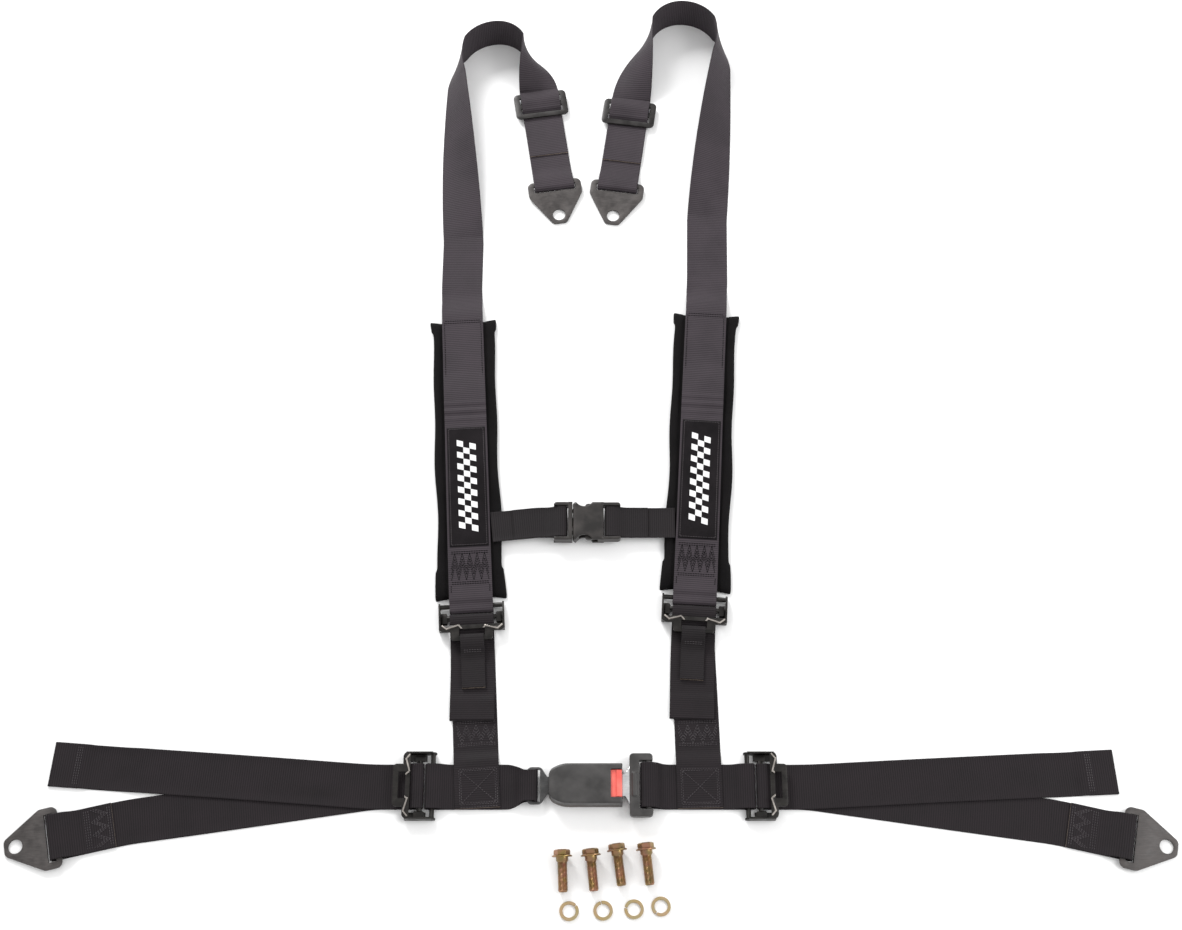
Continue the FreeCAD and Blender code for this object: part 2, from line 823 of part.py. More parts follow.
def shoulder_upper_strap(side, spec):
    """The strap from the shoulder slide and tab, standing on edge round its bend, to the pad's foot."""
    sign = -spec["side"]
    heading = spec["shoulder_heading"]
    bar = shoulder_bar(spec)
    distance, tail = spec["slide_distance"], spec["slide_tail"]
    bar_width = (dim("slide_length") - 2 * dim("slide_slot")) / 3
    over = dim("slide_level") + dim("slide_thick") + layer(1) + 0.1
    start = bar + heading_vector(heading) * (distance - tail)
    route = Route((start.x, start.y, layer(3)), heading, dim("web_width"))
    # under the near bar, up through the slot, over the other two and round the far one
    route.run(tail - dim("slide_length") / 2 + bar_width + 0.2)
    route.climb(over - layer(3), dim("slide_slot") - 0.4)
    route.run(dim("slide_slot") + 2 * bar_width - 0.2)
    route.wrap(180, (over - layer(2)) / 2)
    # back under the slide and round the tab's bar
    top = tab_level() + dim("tab_loop")
    flat = (Vector(route.point.x, route.point.y, 0) - bar).Length - 27
    route.run(flat)
    route.climb(top - layer(2), 26)
    route.run(1)
    route.wrap(-180, dim("tab_loop"))
    # along the floor, up on edge, round the bend, and flat again
    route.run(distance + dim("slide_length") / 2 + 5)
    strap(f"shoulder_strap_{side}_threaded", route)
    route.restart()
    route.edge_on_floor = True
    route.twist(90 * sign, spec["twist_length"], spec["twist_yaw"] * sign)
    for degrees, radius in (spec["first_bend"], spec["second_bend"]):
        route.twist(0, math.radians(degrees) * radius, degrees * sign)
    strap(f"shoulder_strap_{side}_bend", route)
    route.restart()
    first, second = spec["untwist_yaws"]
    route.twist(-30 * sign, 50, first * sign)
    route.twist(-60 * sign, 230, second * sign)
    route.edge_on_floor = False
    # up onto the pad, along it, and round the adjuster's rear bar
    pad_heading = spec["pad_heading"]
    foot_of_climb = Vector(*spec["pad_top"], 0) - heading_vector(pad_heading) * 42
    route.join(foot_of_climb, pad_heading, 14)
    route.climb(pad_strap_level() - layer(1), 40)
    route.run(dim("pad_length") + 2)
    route.climb(dim("adj_axis") + dim("adj_loop") - pad_strap_level(), dim("adj_pad_gap"))
    route.wrap(180, dim("adj_loop"))
    route.run(2)
    strap(f"shoulder_strap_{side}_upper", route)


def pad_strap_level():
    """The middle height of webbing sewn along the top of a pad."""
    return dim("pad_thick") + 0.1 + dim("web_thick") / 2


def sternum_strap(side, spec, bar_x, free_length, slope):
    """The chest strap sewn on a pad, round its buckle bar and back on top of itself."""
    inward = 0 if spec["side"] < 0 else 180
    top = Vector(*spec["pad_top"], 0)
    down = top.y - dim("chest_line")
    pad_x = top.x + down / math.tan(math.radians(-spec["pad_heading"]))
    sewn_x = pad_x - spec["side"] * (dim("web_width") / 2 + 2)
    length = abs(sewn_x - bar_x)
    bend, straight = 14.0, 22.0
    lead = length - bend - straight
    offset = lead * math.sin(math.radians(slope)) + bend * math.sin(math.radians(slope / 2))
    start = (sewn_x, dim("chest_line") - offset, pad_strap_level())
    route = Route(start, inward + slope * -spec["side"], dim("chest_width"))
    route.run(lead)
    route.steer(slope * spec["side"], bend)
    route.run(abs(bar_x - route.point.x))
    route.wrap(-180, dim("clip_loop"))
    route.run(1)
    route.climb(pad_strap_level() + dim("web_thick") + dim("web_gap") - route.point.z, straight - 2)
    route.run(1)
    route.steer(slope * -spec["side"], bend)
    route.run(free_length)
    strap(f"sternum_strap_{side}", route)


def pull_tab(label, place):
    """A short doubled strap hung from the lever, lying on the webbing below it."""
    bar_x = (dim("adj_front") + 5 + dim("adj_lever")) / 2
    bar_z = dim("adj_height") - 1 - dim("adj_metal") / 2
    loop = 4.1
    length = 58.0
    heading = place.Rotation.toEuler()[0]
    start = place.multVec(Vector(bar_x + length, 0, layer(3) + 0.1))
    route = Route(tuple(start), heading + 180, dim("pull_width"), face=UP * -1)
    route.run(length - 26)
    route.climb(bar_z - loop - route.point.z, 24)
    route.run(2)
    route.wrap(180, loop)
    route.run(1)
    route.climb(layer(4) + 0.1 - route.point.z, 26)
    route.run(length - 27)
    strap(label, route)


# ---------------------------------------------------------------- lap buckle

def case_block(name, inset, right, low, high):
    """A block with the outline of the case, narrower towards the webbing, drawn in by an inset."""
    body = doc.addObject("PartDesign::Body", name)
    left = f"sheet.case_left + {inset}"
    tip = f"sheet.case_tip / 2 - {inset}"
    half = f"sheet.case_width / 2 - {inset}"
    lengthwise = [(left, tip), ("sheet.case_left + sheet.case_taper", half), (right, half)]
    corners = [(x, f"-({y})") for x, y in lengthwise] + lengthwise[::-1]
    block = pad_up(body, outline_sketch(body, f"{name}_outline", corners), f"({high}) - ({low})")
    straight = dim("case_left") + dim("case_taper") + 1
    round_upright_edges(body, block, f"{name}_round", 7.0, lambda point: point.x < straight)
    body.Placement = at(0, 0, 0, evaluate(low))
    return body


def buckle_case():
    """The two halves of the plastic case: a tray below and a cover above, open for the tongue."""
    left, right = "sheet.case_left", "sheet.case_right"
    wall, top = "sheet.case_wall", "sheet.case_height"
    past_end = f"{right} + 1"
    neck = (f"{left} - 1", f"{left} + {wall} + 1")

    tray = case_block("base_block", "0", right, "0", "sheet.case_split")
    hollow = case_block("base_hollow", wall, past_end, wall, "sheet.case_split + 1")
    notch = box("base_notch", neck, pair("sheet.neck_width / 2 + 0.3"), ("5.8", "sheet.case_split + 1"))
    base = cut("buckle_base", tray, [hollow, notch])
    base.Placement = at(0, dim("lap_line"))
    node(base, "buckle_base")

    shell = case_block("cover_block", "0", right, "sheet.case_split + 0.05", top)
    shell = round_edges("cover_soft", shell, 2.0, lambda edge: on_level(edge, dim("case_height")))
    hollow = case_block("cover_hollow", wall, past_end, "0", f"{top} - {wall}")
    window = box(
        "cover_window",
        (f"{right} - 13", past_end),
        pair("sheet.button_width / 2 + 0.4"),
        ("9", f"{top} + 1"),
    )
    rib = box("cover_rib", ("-5", "-3"), pair("14"), ("16.8", f"{top} - 1"))
    open_shell = cut("cover_open", shell, [hollow, window])
    cover = fuse("buckle_cover", [open_shell, rib])
    cover.Placement = at(0, dim("lap_line"))
    node(cover, "buckle_cover")


def on_level(edge, height):
    """True for an edge that lies at a height."""
    return all(abs(vertex.Z - height) < 0.01 for vertex in edge.Vertexes)


def buckle_steel():
    """The steel channel inside the case, with the webbing loop at its back, and the latch spring."""
    body = doc.addObject("PartDesign::Body", "frame_plate")
    neck, wide, ring = "sheet.neck_width / 2", "18", "21"
    lengthwise = [("-72", ring), ("-56", ring), ("-49", neck), ("-30", neck), ("-22", wide), ("22", wide)]
    corners = [(x, f"-({y})") for x, y in lengthwise] + lengthwise[::-1]
    plate = pad_up(body, outline_sketch(body, "frame_outline", corners), "2.5")
    round_upright_edges(body, plate, "frame_round", 6.0, lambda point: point.x < -55)
    slot_corners = [("-66", "-18"), ("-57", "-18"), ("-57", "18"), ("-66", "18")]
    cut_through(body, outline_sketch(body, "frame_slot", slot_corners))
    body.Placement = at(0, 0, 0, 6)
    walls = [
        box("frame_wall_left", ("-21", "18"), ("-18", "-16.4"), ("7", "17")),
        box("frame_wall_right", ("-21", "18"), ("16.4", "18"), ("7", "17")),
    ]
    shelf = box("frame_shelf", ("-36", "-31"), pair("10"), ("13.4", "14.8"))
    stop = box("frame_stop", ("-33", "-30.2"), pair("8"), ("8", "14"))
    frame = fuse("buckle_frame", [body, shelf, stop] + walls)
    frame.Placement = at(0, dim("lap_line"))
    node(frame, "buckle_frame")

    leaf = box("latch_leaf", ("-36", "16"), pair("7"), ("14.9", "15.9"))
    tooth = box("latch_tooth", ("11.5", "15"), pair("5"), ("9.2", "15.4"))
    latch = fuse("buckle_latch", [leaf, tooth])
    latch.Placement = at(0, dim("lap_line"))
    node(latch, "buckle_latch")

    block = box("ejector_block", ("-9", "2.6"), pair("8"), ("8.8", "12.8"))
    spigot = doc.addObject("Part::Cylinder", "ejector_spigot")
    spigot.Radius = 1.0
    spigot.Height = 6
    spigot.Placement = Placement(Vector(-14.5, 0, 10.8), Rotation(Vector(0, 1, 0), 90))
    ejector = fuse("ejector", [block, spigot])
    ejector.Placement = at(0, dim("lap_line"))
    node(ejector, "ejector")


def coil(name, radius, wire, pitch, turns, place):
    """A round-wire spring along local Z."""
    helix = Part.makeHelix(pitch, pitch * turns, radius)
    ring = Part.Wire([Part.makeCircle(wire, Vector(radius, 0, 0), Vector(0, 1, 0))])
    piece = doc.addObject("Part::Feature", name)
    piece.Shape = Part.Wire(helix.Edges).makePipeShell([ring], True, True)
    piece.Placement = place
    return piece


def buckle_springs():
    """The spring behind the ejector and the pair behind the button."""
    line = dim("lap_line")
    along_x = Rotation(Vector(0, 1, 0), 90)
    behind_ejector = Placement(Vector(-29.5, line, 10.9), along_x)
    node(coil("ejector_spring", 1.9, 0.35, 2.4, 8, behind_ejector), "ejector_spring")
    springs = [
        coil(f"button_coil_{name}", 1.5, 0.3, 2.0, 8, Placement(Vector(-2.2, line + y, 17.5), along_x))
        for name, y in (("a", -10.5), ("b", 10.5))
    ]
    both = doc.addObject("Part::Compound", "button_spring")
    both.Links = springs
    node(both, "button_spring")


def release_button():
    """The push button: a crowned block that shows at the mouth end of the cover."""
    half = "sheet.button_width / 2"
    front = "sheet.case_right - 0.5"
    head = box("button_head", ("sheet.case_right - 11.5", front), pair(half), ("12.2", "19.2"))
    crown = box("button_crown", ("sheet.case_right - 7.2", front), pair(half), ("18", "20.6"))
    crown = round_edges("button_soft", crown, 1.4, lambda edge: on_level(edge, 20.6))
    body = box("button_body", ("15.5", "sheet.case_right - 11"), pair(half), ("16.2", "19.2"))
    button = fuse("release_button", [head, crown, body])
    button.Placement = at(0, dim("lap_line"))
    node(button, "release_button")


def tongue():
    """The steel tongue blade and its moulded webbing frame."""
    body = doc.addObject("PartDesign::Body", "tongue_blade")
    half = "sheet.blade_width / 2"
    right = "sheet.case_right"
    side = [("3", "9"), ("7", half)]
    side += [(f"{right} + 3", half), (f"{right} + 10", "24"), (f"{right} + 15.5", "24")]
    corners = [(x, f"-({y})") for x, y in side] + side[::-1]
    pad_up(body, outline_sketch(body, "blade_outline", corners), "sheet.blade_thick")
    window = outline_sketch(body, "blade_window", [("10.5", "-6"), ("20", "-6"), ("20", "6"), ("10.5", "6")])
    cut_through(body, window)
    body.Placement = at(0, dim("lap_line"), 0, dim("blade_level"))
    node(body, "tongue_blade")

    front = box("grip_front", (f"{right} + 8", f"{right} + 19"), pair("35.5"), ("5.4", "14.6"))
    arms = [
        box(f"grip_arm_{name}", (f"{right} + 18", f"{right} + 34"), span, ("5.4", "14.6"))
        for name, span in (("a", ("-35.5", "-27.5")), ("b", ("27.5", "35.5")))
    ]
    rounded = [round_edges(f"{piece.Name}_round", piece, 4.0, grip_corner) for piece in [front] + arms]
    crown = box("grip_crown", (f"{right} + 10.5", f"{right} + 16.5"), pair("14"), ("14", "16.4"))
    crown = round_edges("grip_crown_round", crown, 2.0, lambda edge: is_upright(edge) or on_level(edge, 16.4))
    bar = rod("grip_bar", "3.4", "29", f"{right} + 29", "10")
    solid = fuse("grip_solid", rounded + [crown, bar])
    pocket = box(
        "grip_pocket",
        (f"{right} + 7", f"{right} + 15.5"),
        pair("24"),
        ("sheet.blade_level", "sheet.blade_level + sheet.blade_thick"),
    )
    grip = cut("tongue_grip", solid, [pocket])
    grip.Placement = at(0, dim("lap_line"))
    node(grip, "tongue_grip")


def grip_corner(edge):
    """The outer upright corners of the moulded frame."""
    corner = edge.Vertexes[0]
    front = corner.X < dim("case_right") + 9
    back = corner.X > dim("case_right") + 33
    return is_upright(edge) and (front or back) and abs(corner.Y) > 34


# ---------------------------------------------------------------- sternum buckle

def sternum_buckle():
    """The side-release buckle: a ladder-lock body with two sprung arms, and the socket it enters."""
    level = "sheet.clip_level"
    half = "sheet.clip_width / 2"
    low, high = f"{level} - sheet.clip_thick / 2", f"{level} + sheet.clip_thick / 2"
    place = at(0, dim("chest_line"))

    pieces = [
        box("male_root", ("-27", "-22"), pair(half), (f"{level} - 5.5", f"{level} + 5.5")),
        box("male_end", ("-44", "-41"), pair(half), (f"{level} - 6.5", f"{level} - 4.4")),
        box("male_guide", ("-23", "4"), pair("4"), (f"{level} - 1.6", f"{level} + 1.6")),
        rod("male_bar", "sheet.clip_bar", f"{half} - 2", "-34", level),
    ]
    for name, span in (("a", (f"-({half})", f"-({half} - 4)")), ("b", (f"{half} - 4", half))):
        cheek = box(f"male_cheek_{name}", ("-44", "-22"), span, (f"{level} - 6.5", f"{level} + 5"))
        pieces.append(round_edges(f"male_cheek_round_{name}", cheek, 3.4, clip_corner))
    male = fuse("sternum_buckle_male", pieces)
    male.Placement = place
    node(male, "sternum_buckle_male")

    arms = []
    for name, sign in (("a", -1), ("b", 1)):
        stem = box(f"arm_stem_{name}", ("-22", "-6"), ("12", "15.5"), (f"{level} - 2.6", f"{level} + 2.6"))
        barb = box(f"arm_barb_{name}", ("-7", "6"), ("13", "22.5"), (f"{level} - 2.6", f"{level} + 2.6"))
        barb = round_edges(f"arm_barb_round_{name}", barb, 3.5, is_upright)
        arm = fuse(f"arm_{name}", [stem, barb])
        arm.Placement = Placement(Vector(0, 0, 0), Rotation()) if sign > 0 else mirror_turn()
        arms.append(arm)
    both = doc.addObject("Part::Compound", "sternum_buckle_arms")
    both.Links = arms
    both.Placement = place
    node(both, "sternum_buckle_arms")

    body = box("female_block", ("-21.5", "15"), pair(half), (low, high))
    top = dim("clip_level") + dim("clip_thick") / 2
    body = round_edges("female_corners", body, 4.0, clip_corner)
    body = round_edges("female_round", body, 3.0, lambda edge: on_level(edge, top))
    waist = [waist_cutter(f"female_waist_{name}", sign) for name, sign in (("a", -1), ("b", 1))]
    hollow = box("female_hollow", ("-23", "10"), pair("19.5"), (f"{level} - 3.4", f"{level} + 3.4"))
    windows = box("female_windows", ("-9", "8"), pair(f"{half} + 1"), (f"{level} - 3.4", f"{level} + 3.4"))
    socket = cut("female_socket", body, [hollow, windows] + waist)
    tail = []
    for name, span in (("a", ("-23.5", "-19.6")), ("b", ("19.6", "23.5"))):
        cheek = box(f"female_cheek_{name}", ("14", "35"), span, (f"{level} - 5", f"{level} + 5"))
        tail.append(round_edges(f"female_cheek_round_{name}", cheek, 3.4, clip_corner))
    bar = rod("female_bar", "sheet.clip_bar", "21", "23.5", level)
    female = fuse("sternum_buckle_female", [socket, bar] + tail)
    female.Placement = place
    node(female, "sternum_buckle_female")


def clip_corner(edge):
    """The upright corners at the two far ends of the sternum buckle, and at the socket's mouth."""
    corner = edge.Vertexes[0]
    far = corner.X < -43 or corner.X > 34 or abs(corner.X + 21.5) < 0.1
    return is_upright(edge) and far and abs(corner.Y) > 23


def waist_cutter(name, sign):
    """An upright cutter that hollows one side of the socket round its spring arm."""
    cutter = doc.addObject("Part::Cylinder", name)
    cutter.Radius = 11
    cutter.Height = 30
    cutter.Placement = Placement(Vector(-8, sign * 29, 0), Rotation())
    return cutter


def mirror_turn():
    """Half a turn about the sternum buckle's own line, which swaps its two sides."""
    level = dim("clip_level")
    return Placement(Vector(0, 0, 2 * level), Rotation(Vector(1, 0, 0), 180))


# ---------------------------------------------------------------- bolts and washers

BOLTS = ((-32.0, -522.0, -88.0), (-1.0, -521.0, -84.5), (27.6, -515.5, -82.5), (59.7, -514.5, -84.0))
WASHERS = ((-23.9, -587.0), (13.1, -586.5), (46.8, -585.0), (76.2, -582.0))


def anchor_bolts():
    """Four hexagon-head shoulder bolts lying on the floor, as one set."""
    lean = math.degrees(math.atan2(dim("bolt_flange") - dim("bolt_thread"), dim("bolt_length") - 8))
    bolts = []
    for i, (x, y, heading) in enumerate(BOLTS):
        head = doc.addObject("Part::Prism", f"bolt_head_{i}")
        head.Polygon = 6
        head.setExpression("Circumradius", "sheet.bolt_across_flats / 2 / cos(30)")
        head.Height = 6
        parts = [head]
        for name, start, end, radius in (
            ("flange", "5.5", "8", "sheet.bolt_flange"),
            ("shoulder", "7.5", "14", "sheet.bolt_shoulder"),
            ("thread", "13", "sheet.bolt_length", "sheet.bolt_thread"),
        ):
            stage = doc.addObject("Part::Cylinder", f"bolt_{name}_{i}")
            stage.setExpression("Radius", radius)
            stage.setExpression("Height", f"{end} - {start}")
            stage.setExpression("Placement.Base.z", start)
            parts.append(stage)
        bolt = fuse(f"bolt_{i}", parts)
        height = dim("bolt_flange") * math.cos(math.radians(lean)) + 8 * math.sin(math.radians(lean))
        lying = Rotation(heading, 90 + lean, 0)
        bolt.Placement = Placement(Vector(x, y, height), lying)
        bolts.append(bolt)
    both = doc.addObject("Part::Compound", "anchor_bolts")
    both.Links = bolts
    node(both, "anchor_bolts")


def lock_washers():
    """Four split lock washers lying flat, as one set."""
    washers = []
    for i, (x, y) in enumerate(WASHERS):
        outer = doc.addObject("Part::Cylinder", f"washer_outer_{i}")
        outer.setExpression("Radius", "sheet.washer_outer")
        outer.setExpression("Height", "sheet.washer_thick")
        bore = doc.addObject("Part::Cylinder", f"washer_bore_{i}")
        bore.setExpression("Radius", "sheet.washer_inner")
        bore.setExpression("Height", "sheet.washer_thick")
        split = box(f"washer_split_{i}", ("0", "sheet.washer_outer + 1"), ("-0.6", "0.6"), ("-1", "5"))
        washer = cut(f"washer_{i}", outer, [bore, split])
        washer.Placement = at(x, y, 40 + 65 * i)
        washers.append(washer)
    both = doc.addObject("Part::Compound", "lock_washers")
    both.Links = washers
    node(both, "lock_washers")


# ---------------------------------------------------------------- the whole harness

def build_side(side, spec):
    """Everything that comes once on each side."""
    lap_anchor_strap(side, spec)
    shoulder_lower_strap(side, spec)
    shoulder_upper_strap(side, spec)
    anchor_tab(f"anchor_tab_lap_{side}", tab_place(lap_bar(spec), lap_tab_heading(spec)))
    shoulder_tab_heading = spec["shoulder_heading"] + 180
    anchor_tab(f"anchor_tab_shoulder_{side}", tab_place(shoulder_bar(spec), shoulder_tab_heading))
    slide = shoulder_bar(spec) + heading_vector(spec["shoulder_heading"]) * spec["slide_distance"]
    three_bar_slide(
        f"shoulder_slide_{side}", at(slide.x, slide.y, spec["shoulder_heading"], dim("slide_level"))
    )
    shoulder_pad(f"shoulder_pad_{side}", at(*spec["pad_top"], spec["pad_heading"]))
    patch_level = pad_strap_level() + dim("web_thick") / 2 + 0.1
    pad_patch(f"pad_patch_{side}", at(*spec["pad_top"], spec["pad_heading"], patch_level))
    for name, place in (("lap", lap_adjuster_place(spec)), ("shoulder", shoulder_adjuster_place(spec))):
        adjuster_frame(f"adjuster_frame_{name}_{side}", place)
        locking_bar(f"locking_bar_{name}_{side}", place)
    pull_tab(f"pull_tab_{side}", shoulder_adjuster_place(spec))


def check_all():
    """Stop if any object failed or any sub-part is empty or broken."""
    for item in doc.Objects:
        if "Invalid" in item.State or "Error" in item.State:
            raise RuntimeError(f"{item.Label} failed: {item.State}")
    for piece in nodes:
        if piece.Shape.isNull() or not piece.Shape.isValid():
            raise RuntimeError(f"{piece.Label} has no valid shape")


for side, spec in LAYOUT.items():
    build_side(side, spec)
lap_inner_strap("left", LAYOUT["left"], -69.0, 7.25, 4.25, dim("bunched_width"))
lap_inner_strap("right", LAYOUT["right"], dim("case_right") + 29, 10.0, 4.55, dim("web_width"))
sternum_strap("left", LAYOUT["left"], -34.0, 22.0, 6.0)
sternum_strap("right", LAYOUT["right"], 23.5, 8.0, 0.0)
buckle_case()
buckle_steel()
buckle_springs()
release_button()
tongue()
sternum_buckle()
anchor_bolts()
lock_washers()

doc.recompute()
check_all()
os.makedirs("parts", exist_ok=True)
for piece in nodes:
    piece.Shape.exportStep(f"parts/{piece.Label}.step")
    print(piece.Label, round(piece.Shape.Volume, 1), len(piece.Shape.Solids))
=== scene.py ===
import json
import math
import random
from math import atan2, cos, exp, pi, radians, sin

import bmesh
import bpy
import numpy as np
from mathutils import Matrix, Quaternion, Vector

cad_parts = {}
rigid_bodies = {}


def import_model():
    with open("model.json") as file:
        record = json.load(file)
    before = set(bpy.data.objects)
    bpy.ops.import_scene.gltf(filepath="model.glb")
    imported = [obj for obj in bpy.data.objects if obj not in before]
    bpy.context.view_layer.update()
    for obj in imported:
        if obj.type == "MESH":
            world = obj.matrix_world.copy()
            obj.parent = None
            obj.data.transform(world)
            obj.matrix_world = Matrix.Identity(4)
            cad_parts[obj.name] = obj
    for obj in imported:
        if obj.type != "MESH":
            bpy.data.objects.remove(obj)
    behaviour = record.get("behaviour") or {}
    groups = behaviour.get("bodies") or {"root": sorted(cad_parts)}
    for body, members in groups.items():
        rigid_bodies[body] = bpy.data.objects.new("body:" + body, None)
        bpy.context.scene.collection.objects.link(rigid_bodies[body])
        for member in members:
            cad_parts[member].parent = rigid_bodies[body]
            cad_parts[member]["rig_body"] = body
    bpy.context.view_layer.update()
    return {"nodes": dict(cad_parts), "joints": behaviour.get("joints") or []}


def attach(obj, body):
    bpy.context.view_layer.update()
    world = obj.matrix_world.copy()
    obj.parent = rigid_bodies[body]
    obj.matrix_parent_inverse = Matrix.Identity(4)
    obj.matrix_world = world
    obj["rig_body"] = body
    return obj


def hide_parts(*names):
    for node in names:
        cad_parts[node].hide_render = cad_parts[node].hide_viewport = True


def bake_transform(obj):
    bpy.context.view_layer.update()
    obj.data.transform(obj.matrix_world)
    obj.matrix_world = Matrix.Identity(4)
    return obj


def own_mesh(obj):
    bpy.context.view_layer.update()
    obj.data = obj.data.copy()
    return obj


# The looks of a four-point racing harness laid out flat on the floor, in metres.

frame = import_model()

MM = 0.001
SIDES = {"left": -1, "right": 1}
UP = Vector((0, 0, 1))

# webbing
WEB = 50.8 * MM
THICK = 1.5 * MM
GAP = 0.2 * MM
CHEST = 38 * MM
PULL = 27 * MM
BUNCHED = 35 * MM
RIB = 2.54 * MM
RIB_DEPTH = 0.14 * MM
REACH = 50 * MM
TAB_LOOP = 4.35 * MM
ADJUSTER_LOOP = 3.85 * MM
BAR_GAP = 14 * MM
TAIL_DROP = 235 * MM
LAP_HEM = 34 * MM
TAIL_HEM = 20 * MM
TAB_SLACK = 5.5 * MM
BAR_SLACK = 4.4 * MM
SLIDE = {"length": 38 * MM, "slot": 8.5 * MM, "thick": 2.5 * MM, "level": 5.3 * MM}
PAD = {"length": 368 * MM, "gap": 9 * MM, "wide": 43 * MM, "narrow": 38.5 * MM, "thick": 10 * MM}
PATCH = {"start": 150 * MM, "length": 155 * MM, "width": 46 * MM, "thick": 0.8 * MM}

# How each side lies, as in the frame: angles in degrees, lengths in metres.
LAYOUT = {
    "left": {
        "sewn_x": -0.126,
        "lap_tail": (-4.2, 0.379),
        "shoulder_tail": (-3.0, 0.086),
        "slide": (0.122, 0.077),
        "twist": (0.062, 20.0),
        "bends": ((61.5, 0.038), (60.0, 0.050)),
        "untwist": (33.0, 1.0),
        "lap_bar": (-0.069, 0.00725, 0.00425, BUNCHED, 0.0048),
        "chest_bar": (-0.034, 0.022, 6.0, 0.0024),
    },
    "right": {
        "sewn_x": 0.122,
        "lap_tail": (2.9, 0.363),
        "shoulder_tail": (1.3, 0.094),
        "slide": (0.110, 0.074),
        "twist": (0.1035, 16.0),
        "bends": ((66.0, 0.042), (60.0, 0.050)),
        "untwist": (37.0, -2.0),
        "lap_bar": (0.064, 0.010, 0.00455, WEB, 0.0040),
        "chest_bar": (0.0235, 0.008, 0.0, 0.0038),
    },
}
LAP_LINE = -0.450
CHEST_LINE = -0.135


# ---- places from the frame

def pivot(joint):
    """The point and the heading in degrees of a hinge that lifts what it carries."""
    found = next(item for item in frame["joints"] if item["name"] == joint)
    axis = found["axis"]
    return Vector(found["pos_m"]), math.degrees(atan2(axis[0], -axis[1]))


def heading_vector(degrees):
    """The level direction that a heading points in."""
    return Vector((cos(radians(degrees)), sin(radians(degrees)), 0))


def heading_of(vector):
    """The heading of a vector, in degrees."""
    return math.degrees(atan2(vector.y, vector.x))


def layer(count):
    """The middle height of a webbing layer lying on the floor, counted from 1."""
    return THICK / 2 + (count - 1) * (THICK + GAP)


def flat(point, height=0.0):
    """The same place at another height."""
    return Vector((point.x, point.y, height))


def wrapped(degrees):
    """An angle brought to within half a turn of zero."""
    return (degrees + 180) % 360 - 180


def mean_angle(first, second):
    """The heading half way between two headings."""
    return first + wrapped(second - first) / 2


STRAP_ON_PAD = PAD["thick"] + 0.1 * MM + THICK / 2


def pad_place(side):
    """The middle of a pad's top end, and its heading."""
    bar, heading = pivot(f"tilt_shoulder_{side}")
    return flat(bar) - heading_vector(heading) * (PAD["length"] + PAD["gap"]), heading


# ---- materials

class Shader:
    """A Principled material with helpers for its node tree."""

    def __init__(self, name, **constants):
        self.material = bpy.data.materials.new(name)
        self.material.use_nodes = True
        self.tree = self.material.node_tree
        self.surface = self.tree.nodes["Principled BSDF"]
        for socket, value in constants.items():
            self.surface.inputs[socket.replace("_", " ")].default_value = value
        self.coords = self.tree.nodes.new("ShaderNodeTexCoord").outputs["Object"]

    def add(self, kind, *values, **inputs):
        """A new node with its inputs set or linked, in order or by name."""
        node = self.tree.nodes.new(kind)
        for key, value in [*enumerate(values), *inputs.items()]:
            if isinstance(value, bpy.types.NodeSocket):
                self.tree.links.new(value, node.inputs[key])
            else:
                node.inputs[key].default_value = value
        return node

    def math(self, operation, first, second=0.0):
        """The result of a Math node."""
        node = self.add("ShaderNodeMath", first, second)
        node.operation = operation
        return node.outputs[0]

    def noise(self, scale, detail, low=0.3, high=0.7, stretch=(1, 1, 1)):
        """Noise in the object's own coordinates, its middle span stretched to 0..1."""
        scaled = self.add("ShaderNodeMapping", Vector=self.coords, Scale=stretch).outputs[0]
        noise = self.add("ShaderNodeTexNoise", Vector=scaled, Scale=scale, Detail=detail).outputs[0]
        return self.spread(noise, low, high)

    def mix(self, factor, first, second):
        """A colour between two."""
        node = self.tree.nodes.new("ShaderNodeMix")
        node.data_type = "RGBA"
        for index, value in ((0, factor), (6, first), (7, second)):
            if isinstance(value, bpy.types.NodeSocket):
                self.tree.links.new(value, node.inputs[index])
            else:
                node.inputs[index].default_value = value if index == 0 else (*value, 1.0)
        return node.outputs[2]

    def spread(self, value, low, high):
        """Stretch a value from a narrow span to 0..1."""
        return self.add("ShaderNodeMapRange", Value=value, **{"From Min": low, "From Max": high}).outputs[0]

    def scaled(self, value, low, high):
        """Bring 0..1 to another span."""
        return self.add("ShaderNodeMapRange", Value=value, **{"To Min": low, "To Max": high}).outputs[0]

    def total(self, first, *rest):
        """The sum of values, each with its weight."""
        result = self.math("MULTIPLY", *first)
        for pair in rest:
            result = self.math("ADD", result, self.math("MULTIPLY", *pair))
        return result

    def finish(self, colour, roughness=None, height=None, distance=0.0):
        """Link the base colour, the roughness and a bump of a height in metres, and give the material."""
        self.tree.links.new(colour, self.surface.inputs["Base Color"])
        if roughness:
            self.tree.links.new(roughness, self.surface.inputs["Roughness"])
        if height:
            bump = self.add("ShaderNodeBump", Height=height, Distance=distance)
            self.tree.links.new(bump.outputs[0], self.surface.inputs["Normal"])
        return self.material


